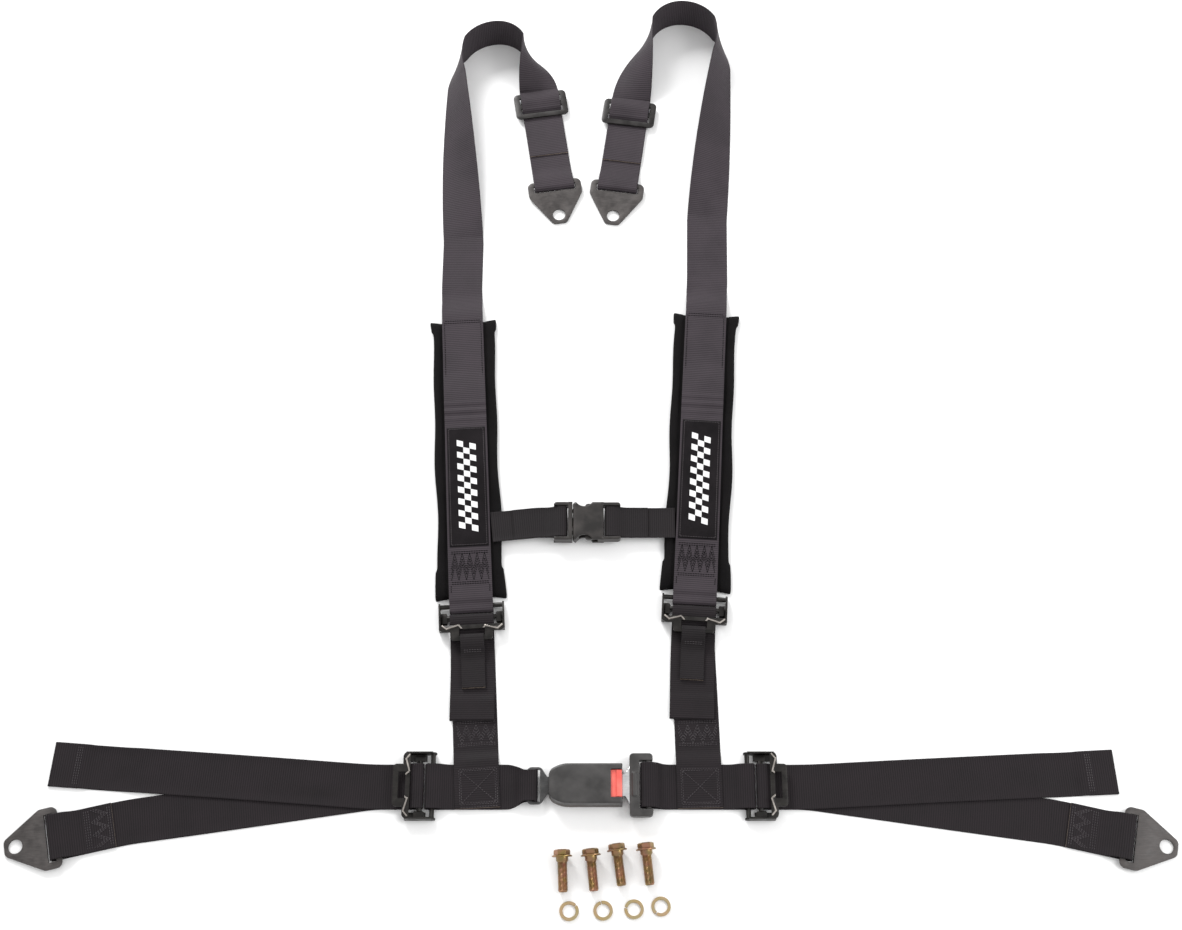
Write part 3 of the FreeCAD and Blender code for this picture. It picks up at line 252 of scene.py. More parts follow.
def webbing_shader(name, dark, light, yarn):
    """Ribbed polyester webbing: ribs across with painted shade in their grooves, yarns along, and slow random changes
    of tone.
    """
    shader = Shader(name, Roughness=0.6, Sheen_Weight=0.06, Sheen_Roughness=0.4, Specular_IOR_Level=0.14)
    uv = shader.tree.nodes.new("ShaderNodeUVMap")
    uv.uv_map = "weave"
    split = shader.add("ShaderNodeSeparateXYZ", Vector=uv.outputs[0])

    def wave(kind, axis, period):
        return shader.math(kind, shader.math("MULTIPLY", split.outputs[axis], 2 * pi / period))

    # Painted shade: the rib term darkens the colour in the grooves between ribs and lightens it on their crests; it
    # also drives the bump.
    rib = shader.math("POWER", shader.spread(wave("COSINE", 1, RIB), -1.0, 1.0), 0.7)
    crossing = shader.math("MULTIPLY", wave("SINE", 0, yarn), wave("SINE", 1, RIB / 2))
    weave = shader.total((rib, 0.65), (shader.spread(crossing, -1.0, 1.0), 0.35))
    patchy = shader.noise(28.0, 4.0)
    fuzz = shader.noise(2400.0, 2.0)
    # The colour mixes the ribs' painted groove shade and the yarn crossings with random patchy tone and fine fuzz.
    colour = shader.mix(shader.total((weave, 0.66), (patchy, 0.22), (fuzz, 0.12)), dark, light)
    return shader.finish(colour, shader.scaled(patchy, 0.5, 0.72), shader.total((weave, 1.0), (fuzz, 0.3)), 0.18 * MM)


def cloth_shader(name, dark, light, scale, distance, sheen):
    """Napped or woven fabric without UVs."""
    shader = Shader(name, Roughness=0.95, Sheen_Weight=sheen, Sheen_Roughness=0.4, Specular_IOR_Level=0.15)
    nap = shader.noise(scale, 3.0)
    colour = shader.mix(shader.total((nap, 0.5), (shader.noise(35.0, 4.0), 0.5)), dark, light)
    return shader.finish(colour, None, nap, distance)


def moulded_shader(name, dark, light, roughness, grain=0.02 * MM):
    """Moulded plastic with a fine spark-eroded grain and faint handling marks."""
    shader = Shader(name, Specular_IOR_Level=0.45)
    marks = shader.noise(60.0, 5.0, 0.35)
    rough = shader.scaled(marks, roughness - 0.08, roughness + 0.1)
    return shader.finish(shader.mix(marks, dark, light), rough, shader.noise(3600.0, 2.0), grain)


def steel_shader(name, dark, light, metallic, roughness, scratches=0.02 * MM):
    """Coated or plated steel: cloudy shade, fine scratches along X and small pits."""
    shader = Shader(name, Metallic=metallic)
    cloudy = shader.noise(90.0, 5.0, 0.32, 0.68)
    scratch = shader.noise(900.0, 2.0, 0.35, 0.7, (0.12, 1, 1))
    colour = shader.mix(shader.total((cloudy, 0.65), (scratch, 0.35)), dark, light)
    return shader.finish(colour, shader.scaled(cloudy, roughness - 0.1, roughness + 0.12), scratch, scratches)


def zinc_shader(name, gold, pink, green, strength):
    """Yellow passivated zinc, with its drifting pink and green tints."""
    shader = Shader(name, Metallic=0.95)
    tint = shader.noise(110.0, 3.0)
    drift = shader.noise(75.0, 2.0, 0.45, 0.75, (1, 1, 1.7))
    base = shader.mix(shader.math("MULTIPLY", tint, strength), gold, pink)
    colour = shader.mix(shader.math("MULTIPLY", drift, strength), base, green)
    return shader.finish(colour, shader.scaled(tint, 0.24, 0.42), shader.noise(1500.0, 2.0, 0.0, 1.0), 0.01 * MM)


MATERIALS = {
    "lap": webbing_shader("lap_webbing", (0.0010, 0.0007, 0.0009), (0.026, 0.0205, 0.0235), 1.3 * MM),
    "shoulder": webbing_shader("shoulder_webbing", (0.008, 0.0062, 0.008), (0.068, 0.056, 0.065), 1.3 * MM),
    "sternum": webbing_shader("sternum_webbing", (0.0016, 0.0013, 0.0015), (0.024, 0.020, 0.022), 1.1 * MM),
    "sealed": cloth_shader("heat_sealed_end", (0.10, 0.075, 0.06), (0.34, 0.27, 0.22), 900.0, 0.1 * MM, 0.0),
    # The thread's lighter colour is painted sheen, so the stitches show as dotted highlights on the dark webbing; its
    # nap noise is random tone.
    "thread": cloth_shader("bonded_thread_painted_sheen", (0.030, 0.026, 0.029), (0.105, 0.094, 0.100), 2500.0, 0.05 * MM, 0.0),
    "dark_thread": cloth_shader("black_thread", (0.001, 0.001, 0.001), (0.010, 0.009, 0.010), 2500.0, 0.05 * MM, 0.0),
    "pad": cloth_shader("napped_pad_fabric", (0.001, 0.0008, 0.001), (0.0065, 0.0055, 0.006), 1500.0, 0.3 * MM, 0.04),
    "patch": cloth_shader("woven_patch", (0.002, 0.0017, 0.002), (0.016, 0.013, 0.015), 1700.0, 0.15 * MM, 0.05),
    "print": moulded_shader("printed_motif", (0.66, 0.66, 0.66), (0.84, 0.84, 0.84), 0.6),
    "clip": moulded_shader("clip_plastic", (0.009, 0.0075, 0.007), (0.030, 0.025, 0.023), 0.36),
    "case": moulded_shader("case_cover_plastic", (0.026, 0.0245, 0.024), (0.052, 0.049, 0.048), 0.42),
    "case_base": moulded_shader("case_base_plastic", (0.045, 0.037, 0.033), (0.085, 0.072, 0.064), 0.48),
    "button": moulded_shader("button_plastic", (0.72, 0.105, 0.085), (0.90, 0.19, 0.155), 0.36),
    "black_steel": steel_shader("black_steel", (0.004, 0.0035, 0.003), (0.022, 0.019, 0.017), 0.45, 0.34),
    "sheared": steel_shader("sheared_steel", (0.20, 0.18, 0.165), (0.56, 0.52, 0.48), 0.85, 0.26),
    "slide_steel": steel_shader("slide_steel", (0.007, 0.006, 0.0058), (0.030, 0.027, 0.026), 0.4, 0.40),
    "tab_steel": steel_shader("phosphate_steel", (0.034, 0.030, 0.029), (0.085, 0.076, 0.073), 0.3, 0.5),
    "ring_steel": steel_shader("ring_steel", (0.035, 0.035, 0.036), (0.085, 0.084, 0.084), 0.4, 0.42),
    "bright_steel": steel_shader("bright_steel", (0.55, 0.55, 0.56), (0.80, 0.80, 0.80), 1.0, 0.16, 0.004 * MM),
    "spring": steel_shader("spring_wire", (0.30, 0.30, 0.30), (0.50, 0.50, 0.50), 1.0, 0.3),
    "gold": zinc_shader("yellow_zinc", (0.30, 0.21, 0.075), (0.36, 0.15, 0.14), (0.12, 0.14, 0.05), 0.75),
    "pale": zinc_shader("pale_zinc", (0.50, 0.38, 0.18), (0.50, 0.32, 0.25), (0.36, 0.38, 0.22), 0.5),
}


def finish_piece(piece, body, slot, *replaced):
    """Ride a piece on its body and hide the frame nodes it stands for. The slot is not used."""
    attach(piece, body)
    if replaced:
        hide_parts(*replaced)
    return piece


def new_object(name, data):
    """A new object in the scene."""
    made = bpy.data.objects.new(name, data)
    bpy.context.scene.collection.objects.link(made)
    return made


def shade(mesh, smooth=True):
    """Smooth or flat shading all over."""
    mesh.polygons.foreach_set("use_smooth", [smooth] * len(mesh.polygons))


def mesh_piece(name, vertices, faces, materials, smooth=True):
    """A new mesh object from points and faces."""
    mesh = bpy.data.meshes.new(name)
    mesh.from_pydata([tuple(v) for v in vertices], [], [tuple(f) for f in faces])
    for key in materials:
        mesh.materials.append(MATERIALS[key])
    shade(mesh, smooth)
    return new_object(name, mesh)


def tube_faces(rings, around, first=0):
    """The faces of a closed tube made of rings of points, its two ends last."""
    faces = []
    for start in range(first, first + (rings - 1) * around, around):
        for j in range(around):
            k = (j + 1) % around
            faces.append((start + j, start + k, start + around + k, start + around + j))
    faces.append(tuple(range(first + around - 1, first - 1, -1)))
    faces.append(tuple(range(first + (rings - 1) * around, first + rings * around)))
    return faces


def slab_faces(rows, cols):
    """The faces of a closed slab: a grid of points on top, then the same grid below."""
    below = rows * cols
    faces = []
    for i in range(rows - 1):
        for j in range(cols - 1):
            a, b = i * cols + j, (i + 1) * cols + j
            faces.append((a, b, b + 1, a + 1))
            faces.append((below + a, below + a + 1, below + b + 1, below + b))
    rim = [(i * cols + j, (i + 1) * cols + j) for i in range(rows - 1) for j in (0, cols - 1)]
    rim += [(i * cols + j, i * cols + j + 1) for j in range(cols - 1) for i in (0, rows - 1)]
    return faces + [(a, b, below + b, below + a) for a, b in rim]


def modify(piece, kind, **settings):
    """Add a modifier with its settings."""
    modifier = piece.modifiers.new(kind.lower(), kind)
    for name, value in settings.items():
        setattr(modifier, name, value)
    return modifier


# ---- webbing

class Route:
    """The path of a flat strap, kept as places with their own directions from one end to the other."""

    def __init__(self, start, heading, width=WEB, upside_down=False):
        self.point = Vector(start)
        self.along = heading_vector(heading)
        self.face = -UP if upside_down else UP.copy()
        self.across = self.face.cross(self.along)
        self.width = width
        self.on_edge = False
        self.stations = []
        self.mark()

    def mark(self):
        """Keep the place here."""
        if self.on_edge:
            self.point.z = self.width / 2 * abs(self.across.z) + THICK / 2 * abs(self.face.z)
        self.stations.append((self.point.copy(), self.across.copy(), self.face.copy(), self.width))

    def turn(self, degrees, axis):
        """Turn the strap's own directions about an axis through its middle."""
        spin = Quaternion(axis, radians(degrees))
        self.along = spin @ self.along
        self.across = spin @ self.across
        self.face = spin @ self.face

    def run(self, length, width=None):
        """Go straight on, to another width if one is given."""
        self.point += self.along * length
        self.width = width or self.width
        self.mark()
        return self

    def curve(self, degrees, axis_name, count, chord):
        """Take equal steps, turning about one of the strap's own directions."""
        for _ in range(count):
            self.turn(degrees / count / 2, getattr(self, axis_name))
            self.point += self.along * chord
            self.turn(degrees / count / 2, getattr(self, axis_name))
            self.mark()
        return self

    def wrap(self, degrees, radius):
        """Bend round a bar, away from the face by a positive angle."""
        count = math.ceil(abs(degrees) / 10)
        chord = 2 * radius * sin(radians(abs(degrees) / count / 2))
        return self.curve(degrees, "across", count, chord)

    def steer(self, degrees, length):
        """Swing sideways in the plane of the strap, anticlockwise seen from above."""
        count = max(4, math.ceil(abs(degrees)))
        return self.curve(degrees * self.face.z, "face", count, length / count)

    def climb(self, rise, length):
        """Rise to another level over a length of floor, with an S-bend."""
        count = 6
        bend = 2 * atan2(rise, length) * self.face.z
        if abs(bend) < 1e-6:
            return self.run(length)
        half = math.hypot(rise, length) / 2
        chord = half * sin(bend / count / 2) / sin(bend / 2)
        self.curve(-math.degrees(bend), "across", count, chord)
        return self.curve(math.degrees(bend), "across", count, chord)

    def join(self, goal, goal_heading, swing=0.030):
        """Swing, go straight and swing again, to arrive at a point with a heading."""
        start_heading = heading_of(self.along)
        straight = start_heading
        for _ in range(8):
            away = self.point + heading_vector(mean_angle(start_heading, straight)) * swing
            near = goal - heading_vector(mean_angle(straight, goal_heading)) * swing
            gap = flat(near - away)
            straight = heading_of(gap)
        self.steer(wrapped(straight - start_heading), swing)
        self.run(gap.length)
        return self.steer(wrapped(goal_heading - straight), swing)

    def twist(self, degrees, length, yaw=0.0):
        """Roll about the strap's own line while it swings about the vertical."""
        count = math.ceil(max(abs(degrees), abs(yaw)) / 3)
        for _ in range(count):
            self.turn(yaw / count / 2, UP)
            self.point += self.along * (length / count)
            self.turn(yaw / count / 2, UP)
            self.turn(degrees / count, self.along)
            self.mark()
        return self

    def hem(self, length):
        """Fold the end under itself."""
        self.climb((THICK + GAP) * self.face.z, 0.014)
        self.run(length)
        self.wrap(180, (THICK + GAP) / 2)
        return self.run(length - 2 * MM)

    def narrow_near(self, bar_x, width):
        """Bunch the strap to a width where it is close to a bar across X."""
        for index, (point, across, face, full) in enumerate(self.stations):
            share = min(1.0, max(0.0, (abs(point.x - bar_x) - 6 * MM) / (20 * MM)))
            share = sin(share * pi / 2)
            self.stations[index] = (point, across, face, width + (full - width) * share)

    def length_so_far(self):
        """The length from the start to here."""
        points = [station[0] for station in self.stations]
        return sum((b - a).length for a, b in zip(points, points[1:]))


# Places across the strap and how thick it is there, with a firmer selvedge at each edge.
PROFILE = ((-1.0, 0.35), (-0.992, 0.8), (-0.97, 1.0), (-0.93, 0.98), (-0.90, 0.80), (-0.55, 0.84),
           (0.0, 0.86), (0.55, 0.84), (0.90, 0.80), (0.93, 0.98), (0.97, 1.0), (0.992, 0.8), (1.0, 0.35))


def resample(stations):
    """Even steps of half a rib along the stations: points, across, face, width and distance."""
    points = np.array([station[0] for station in stations])
    frames = np.array([[*station[1], *station[2], station[3]] for station in stations])
    steps = np.linalg.norm(np.diff(points, axis=0), axis=1)
    distance = np.concatenate(([0.0], np.cumsum(steps)))
    keep = np.concatenate(([True], steps > 1e-7))
    distance, points, frames = distance[keep], points[keep], frames[keep]
    count = max(4, round(distance[-1] / (RIB / 2)))
    even = np.linspace(0.0, distance[-1], count + 1)
    spread = np.column_stack([np.interp(even, distance, column) for column in np.hstack((points, frames)).T])
    across = spread[:, 3:6] / np.linalg.norm(spread[:, 3:6], axis=1, keepdims=True)
    face = spread[:, 6:9] / np.linalg.norm(spread[:, 6:9], axis=1, keepdims=True)
    return spread[:, :3], across, face, spread[:, 9], even


def webbing(name, route, material, seed, swells=()):
    """A ribbed strap along a route. A swell is a distance, a length, a height and a count of wrinkles."""
    centre, across, face, width, distance = resample(route.stations)
    draw = np.random.default_rng(seed)
    count = len(distance)
    rib = np.where(np.arange(count) % 2 == 0, 1.0, -1.0) * RIB_DEPTH
    rib += draw.normal(0.0, 0.02 * MM, count)
    phases = draw.uniform(0, 2 * pi, 4)
    lift = 0.05 * MM * (np.sin(distance / 0.031 + phases[0]) + np.sin(distance / 0.013 + phases[1]))
    wander = 0.25 * MM * (np.sin(distance / 0.047 + phases[2]) + np.sin(distance / 0.11 + phases[3]))
    for start, length, height, wrinkles in swells:
        inside = np.clip((distance - start) / length, 0, 1)
        waves = 0.5 - 0.5 * np.cos(inside * pi * 2 * wrinkles) if wrinkles else 1.0
        lift = lift + height * np.sin(pi * inside) * waves
    columns = [(*column, 1) for column in PROFILE] + [(*column, -1) for column in PROFILE[-2:0:-1]]
    rings, uvs = [], []
    for place, thick, top in columns:
        ribbed = rib if abs(place) < 0.95 else rib * 0.3
        height = top * (THICK / 2 * thick) + (ribbed - RIB_DEPTH) * top + lift
        sideways = place * width / 2 + wander * (abs(place) > 0.4) * 0.5
        rings.append(centre + across * sideways[:, None] + face * height[:, None])
        uvs.append(np.column_stack((place * width / 2 + 0.1, distance)))
    vertices = np.stack(rings, axis=1).reshape(-1, 3)
    uv = np.stack(uvs, axis=1).reshape(-1, 2)
    piece = mesh_piece(name, vertices, tube_faces(count, len(columns)), (material, "sealed"))
    mesh = piece.data
    for cap in (-1, -2):
        mesh.polygons[len(mesh.polygons) + cap].material_index = 1
        mesh.polygons[len(mesh.polygons) + cap].use_smooth = False
    weave = mesh.uv_layers.new(name="weave")
    corners = np.zeros(len(mesh.loops), np.int32)
    mesh.loops.foreach_get("vertex_index", corners)
    weave.data.foreach_set("uv", uv[corners].ravel())
    fix_normals(piece)
    return piece


def fix_normals(piece):
    """Make all faces of a closed piece point outwards."""
    work = bmesh.new()
    work.from_mesh(piece.data)
    bmesh.ops.recalc_face_normals(work, faces=work.faces)
    work.to_mesh(piece.data)
    work.free()


def adjuster_turn(route, tail):
    """From a strap's arrival under an adjuster: round the floating bar and out as a free, hemmed tail."""
    turn, length, drop, hem = tail
    route.run(REACH - BAR_GAP - 12 * MM).climb(4.9 * MM - ADJUSTER_LOOP - layer(1), 10 * MM)
    route.run(2 * MM).wrap(180, ADJUSTER_LOOP).run(2 * MM)
    route.climb(layer(2) - route.point.z, 24 * MM).run(REACH - BAR_GAP - 26 * MM).steer(turn, 40 * MM)
    left = length - 40 * MM
    if drop:
        route.run(drop).climb(layer(1) - layer(2), 30 * MM)
        left -= drop + 30 * MM
    route.run(left - hem - 14 * MM).hem(hem)


def lap_outer(side, spec):
    """The strap from the anchor tab through the lap adjuster to its hemmed tail."""
    bar, heading = pivot(f"tab_swing_lap_{side}")
    adjuster, outward = pivot(f"tilt_lap_{side}")
    stub = 62 * MM
    route = Route(flat(bar - heading_vector(heading) * stub, layer(2)), heading)
    route.run(stub - 27 * MM).climb(bar.z + TAB_LOOP - layer(2), 26 * MM)
    route.run(1 * MM + TAB_SLACK).wrap(180, TAB_LOOP).run(stub + TAB_SLACK)
    route.join(flat(adjuster + heading_vector(outward) * REACH, layer(1)), outward + 180)
    adjuster_turn(route, (*spec["lap_tail"], TAIL_DROP, LAP_HEM))
    piece = webbing(f"lap_webbing_{side}", route, "lap", 11 + SIDES[side])
    bend_at_adjuster(piece, side, "lap", ("anchor", "bight", "tail"))


def bend_at_adjuster(piece, side, kind, parts):
    """Hide the frame's nodes for this strap's turn at the adjuster and bake the webbing's transform into its mesh."""
    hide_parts(*(f"{kind}_strap_{side}_{part}" for part in parts))
    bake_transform(piece)


def lap_inner(side, spec):
    """The doubled strap from the buckle side to the adjuster's rear bar."""
    outward = 180 if side == "left" else 0
    bar_x, bar_level, loop, width, slack = spec["lap_bar"]
    route = Route((spec["sewn_x"], LAP_LINE, layer(2)), outward + 180)
    route.run(abs(spec["sewn_x"] - bar_x) - 25 * MM).climb(bar_level + loop - layer(2), 24 * MM)
    route.run(1 * MM + slack).wrap(180, loop).run(1 * MM + slack)
    route.climb(layer(1) - route.point.z, 22 * MM).run(6 * MM)
    route.narrow_near(bar_x, width)
    adjuster, _ = pivot(f"tilt_lap_{side}")
    route.run(abs(adjuster.x - route.point.x) + BAR_SLACK).wrap(180, ADJUSTER_LOOP).run(1 * MM + BAR_SLACK)
    route.climb(layer(2) - route.point.z, 22 * MM)
    route.run(abs(spec["sewn_x"] - route.point.x) - 1 * MM)
    piece = webbing(f"lap_inner_webbing_{side}", route, "lap", 21 + SIDES[side])
    finish_piece(piece, f"{side}_half", "lap_webbing", f"lap_strap_{side}_inner")


def shoulder_lower(side, spec):
    """The strap from the lap belt up to the shoulder adjuster and down again as a tail."""
    adjuster, heading = pivot(f"tilt_shoulder_{side}")
    end = flat(adjuster + heading_vector(heading) * REACH, layer(1))
    start = Vector((spec["sewn_x"], LAP_LINE - WEB / 2 + 1 * MM, layer(3)))
    route = Route(start, heading_of(end - start), upside_down=True)
    route.run(WEB).climb(layer(1) - layer(3), 18 * MM).join(end, heading + 180, 0.020)
    adjuster_turn(route, (*spec["shoulder_tail"], 0.0, TAIL_HEM))
    piece = webbing(f"lower_webbing_{side}", route, "lap", 31 + SIDES[side])
    bend_at_adjuster(piece, side, "shoulder", ("lower", "bight", "tail"))


def shoulder_upper(side, spec):
    """The strap from its free end through the slide and round the tab, over the bend and down the pad."""
    sign = -SIDES[side]
    bar, down = pivot(f"tab_swing_shoulder_{side}")
    heading = down + 180
    distance, tail = spec["slide"]
    bar_width = (SLIDE["length"] - 2 * SLIDE["slot"]) / 3
    over = SLIDE["level"] + SLIDE["thick"] + layer(1) + 0.1 * MM
    route = Route(flat(bar + heading_vector(heading) * (distance - tail), layer(3)), heading)
    route.run(tail - SLIDE["length"] / 2 + bar_width + 0.2 * MM).climb(over - layer(3), SLIDE["slot"] - 0.4 * MM)
    roll = (route.length_so_far(), SLIDE["slot"] + 2 * bar_width - 0.2 * MM, 3.0 * MM, 0)
    for _ in range(12):
        route.run(roll[1] / 12)
    route.wrap(180, (over - layer(2)) / 2)
    route.run(flat(route.point - bar).length - 27 * MM).climb(bar.z + TAB_LOOP - layer(2), 26 * MM)
    route.run(1 * MM + TAB_SLACK).wrap(-180, TAB_LOOP).run(TAB_SLACK + distance + SLIDE["length"] / 2 + 5 * MM)
    route.on_edge = True
    length, yaw = spec["twist"]
    route.twist(90 * sign, length, yaw * sign)
    for degrees, radius in spec["bends"]:
        route.twist(0, radians(degrees) * radius, degrees * sign)
    first, second = spec["untwist"]
    route.twist(-30 * sign, 0.050, first * sign).twist(-60 * sign, 0.230, second * sign)
    route.on_edge = False
    top, pad_heading = pad_place(side)
    route.join(top - heading_vector(pad_heading) * 0.042, pad_heading, 0.014)
    route.climb(STRAP_ON_PAD - layer(1), 0.040)
    patch = route.length_so_far() + PATCH["start"]
    swells = (roll, (patch - 0.075, 0.060, 1.8 * MM, 0), (patch - 0.036, 0.032, 1.5 * MM, 3))
    route.run(PAD["length"] + 2 * MM).climb(4.6 * MM + ADJUSTER_LOOP - STRAP_ON_PAD, PAD["gap"])
    route.run(BAR_SLACK).wrap(180, ADJUSTER_LOOP).run(2 * MM + BAR_SLACK)
    piece = webbing(f"shoulder_webbing_{side}", route, "shoulder", 41 + SIDES[side], swells)
    nodes = [f"shoulder_strap_{side}_{part}" for part in ("threaded", "bend", "upper")]
    finish_piece(piece, f"{side}_half", "shoulder_webbing", *nodes)


def sternum_strap(side, spec):
    """The chest strap from its pad round the buckle bar and back on top of itself."""
    inward = 0 if side == "left" else 180
    bar_x, free_length, slope, slack = spec["chest_bar"]
    top, pad_heading = pad_place(side)
    pad_x = top.x + (top.y - CHEST_LINE) / math.tan(radians(-pad_heading))
    sewn_x = pad_x - SIDES[side] * (WEB / 2 + 2 * MM)
    bend, straight = 0.014, 0.022
    lead = abs(sewn_x - bar_x) - bend - straight
    offset = lead * sin(radians(slope)) + bend * sin(radians(slope / 2))
    route = Route((sewn_x, CHEST_LINE - offset, STRAP_ON_PAD), inward - slope * SIDES[side], CHEST)
    route.run(lead)
    if slope:
        route.steer(slope * SIDES[side], bend)
    route.run(abs(bar_x - route.point.x) + slack).wrap(-180, 3.1 * MM).run(1 * MM + slack)
    route.climb(STRAP_ON_PAD + THICK + GAP - route.point.z, straight - 2 * MM).run(1 * MM)
    if slope:
        route.steer(-slope * SIDES[side], bend).run(free_length)
    else:
        route.run(free_length + bend)
    piece = webbing(f"sternum_webbing_{side}", route, "sternum", 51 + SIDES[side])
    finish_piece(piece, f"{side}_half", "sternum_webbing", f"sternum_strap_{side}")


def pull_tab(side):
    """The short doubled strap hung from the shoulder adjuster's lever."""
    bar, heading = pivot(f"pull_swing_{side}")
    loop, length = 4.1 * MM, 58 * MM
    start = flat(bar + heading_vector(heading) * length, layer(3) + 0.1 * MM)
    route = Route(start, heading + 180, PULL, upside_down=True)
    route.run(length - 26 * MM).climb(bar.z - loop - route.point.z, 24 * MM).run(2 * MM).wrap(180, loop)
    top = route.length_so_far() / MM
    route.run(1 * MM).climb(layer(4) + 0.1 * MM - route.point.z, 26 * MM).run(length - 27 * MM)
    piece = webbing(f"pull_webbing_{side}", route, "sternum", 61 + SIDES[side])
    finish_piece(piece, f"pull_{side}", "shoulder_webbing", f"pull_tab_{side}")
    seam = Seam(on_strap(route), 12).rows((top + 15, top + 17.4), PULL / 2 - 3 * MM)
    seam.build(f"pull_stitches_{side}", f"pull_{side}", "shoulder_webbing")


# ---- stitching

def on_floor(origin, heading, height):
    """Turns a place along and across a flat stretch, and a height over it, into a point."""
    base, x = flat(origin, height), heading_vector(heading)
    y = UP.cross(x)
    return lambda along, across, rise: base + x * along + y * across + UP * rise


def on_strap(route):
    """Turns a distance along a strap, a place across it and a height over its face into a point."""
    centre, across, face, _, distance = resample(route.stations)

    def place(along, sideways, rise):
        row = min(range(len(distance)), key=lambda i: abs(distance[i] - along))
        forward = (centre[row + 1] - centre[row - 1]) / (distance[row + 1] - distance[row - 1])
        base = centre[row] + forward * (along - distance[row])
        return Vector(base + across[row] * sideways + face[row] * (THICK / 2 + rise))

    return place


class Seam:
    """Stitches on a stretch of webbing, gathered into one mesh."""

    def __init__(self, place, seed):
        self.place = place
        self.draw = random.Random(seed)
        self.vertices = []
        self.faces = []

    def line(self, start, end, pitch=3.0 * MM, length=2.2 * MM, thick=0.42 * MM):
        """A row of stitches between two places."""
        a, b = Vector(start), Vector(end)
        count = max(1, round((b - a).length / pitch))
        step = (b - a) / count
        along = step.normalized()
        for index in range(count):
            middle = a + step * (index + 0.5)
            middle += Vector((self.draw.uniform(-1, 1), self.draw.uniform(-1, 1))) * 0.12 * MM
            self.stitch(middle, along, length / 2, thick)
        return self

    def stitch(self, middle, along, half, thick):
        """One stitch: a short thread that dips into the webbing at both ends."""
        side = Vector((-along.y, along.x))
        self.faces += tube_faces(4, 6, len(self.vertices))
        for share, size, rise in ((-1, 0.45, -0.6), (-0.55, 1, 0.05), (0.55, 1, 0.05), (1, 0.45, -0.6)):
            for corner in range(6):
                angle = pi / 3 * corner
                place = middle + along * (half * share) + side * (thick * size * cos(angle))
                self.vertices.append(self.place(place.x, place.y, thick * (rise + size * sin(angle))))

    def path(self, points):
        """Stitches from point to point."""
        for start, end in zip(points, points[1:]):
            self.line(start, end)
        return self

    def rows(self, places, half, shift=0.0):
        """Rows of stitches straight across, at places along the webbing in millimetres."""
        for place in places:
            self.line((place * MM + shift, -half), (place * MM + shift, half))
        return self

    def frame(self, low, high, rows=1, spacing=1.8 * MM):
        """Stitches round a rectangle."""
        for row in range(rows):
            inset = row * spacing
            x0, y0, x1, y1 = low[0] + inset, low[1] + inset, high[0] - inset, high[1] - inset
            self.path(((x0, y0), (x1, y0), (x1, y1), (x0, y1), (x0, y0)))
        return self

    def cross(self, low, high):
        """Stitches along both diagonals of a rectangle."""
        return self.line(low, high).line((low[0], high[1]), (high[0], low[1]))

    def zigzags(self, places, length, half, peaks, shift=0.0):
        """Zigzags across the webbing, from each place in millimetres to a length beyond it."""
        for place in places:
            ends = (place + length) * MM + shift, place * MM + shift
            self.path([(ends[i % 2], half * (i / peaks - 1)) for i in range(2 * peaks + 1)])
        return self

    def build(self, name, body, slot, thread="thread"):
        """Make the mesh and ride it."""
        piece = mesh_piece(name, self.vertices, self.faces, (thread,))
        fix_normals(piece)
        return finish_piece(piece, body, slot)


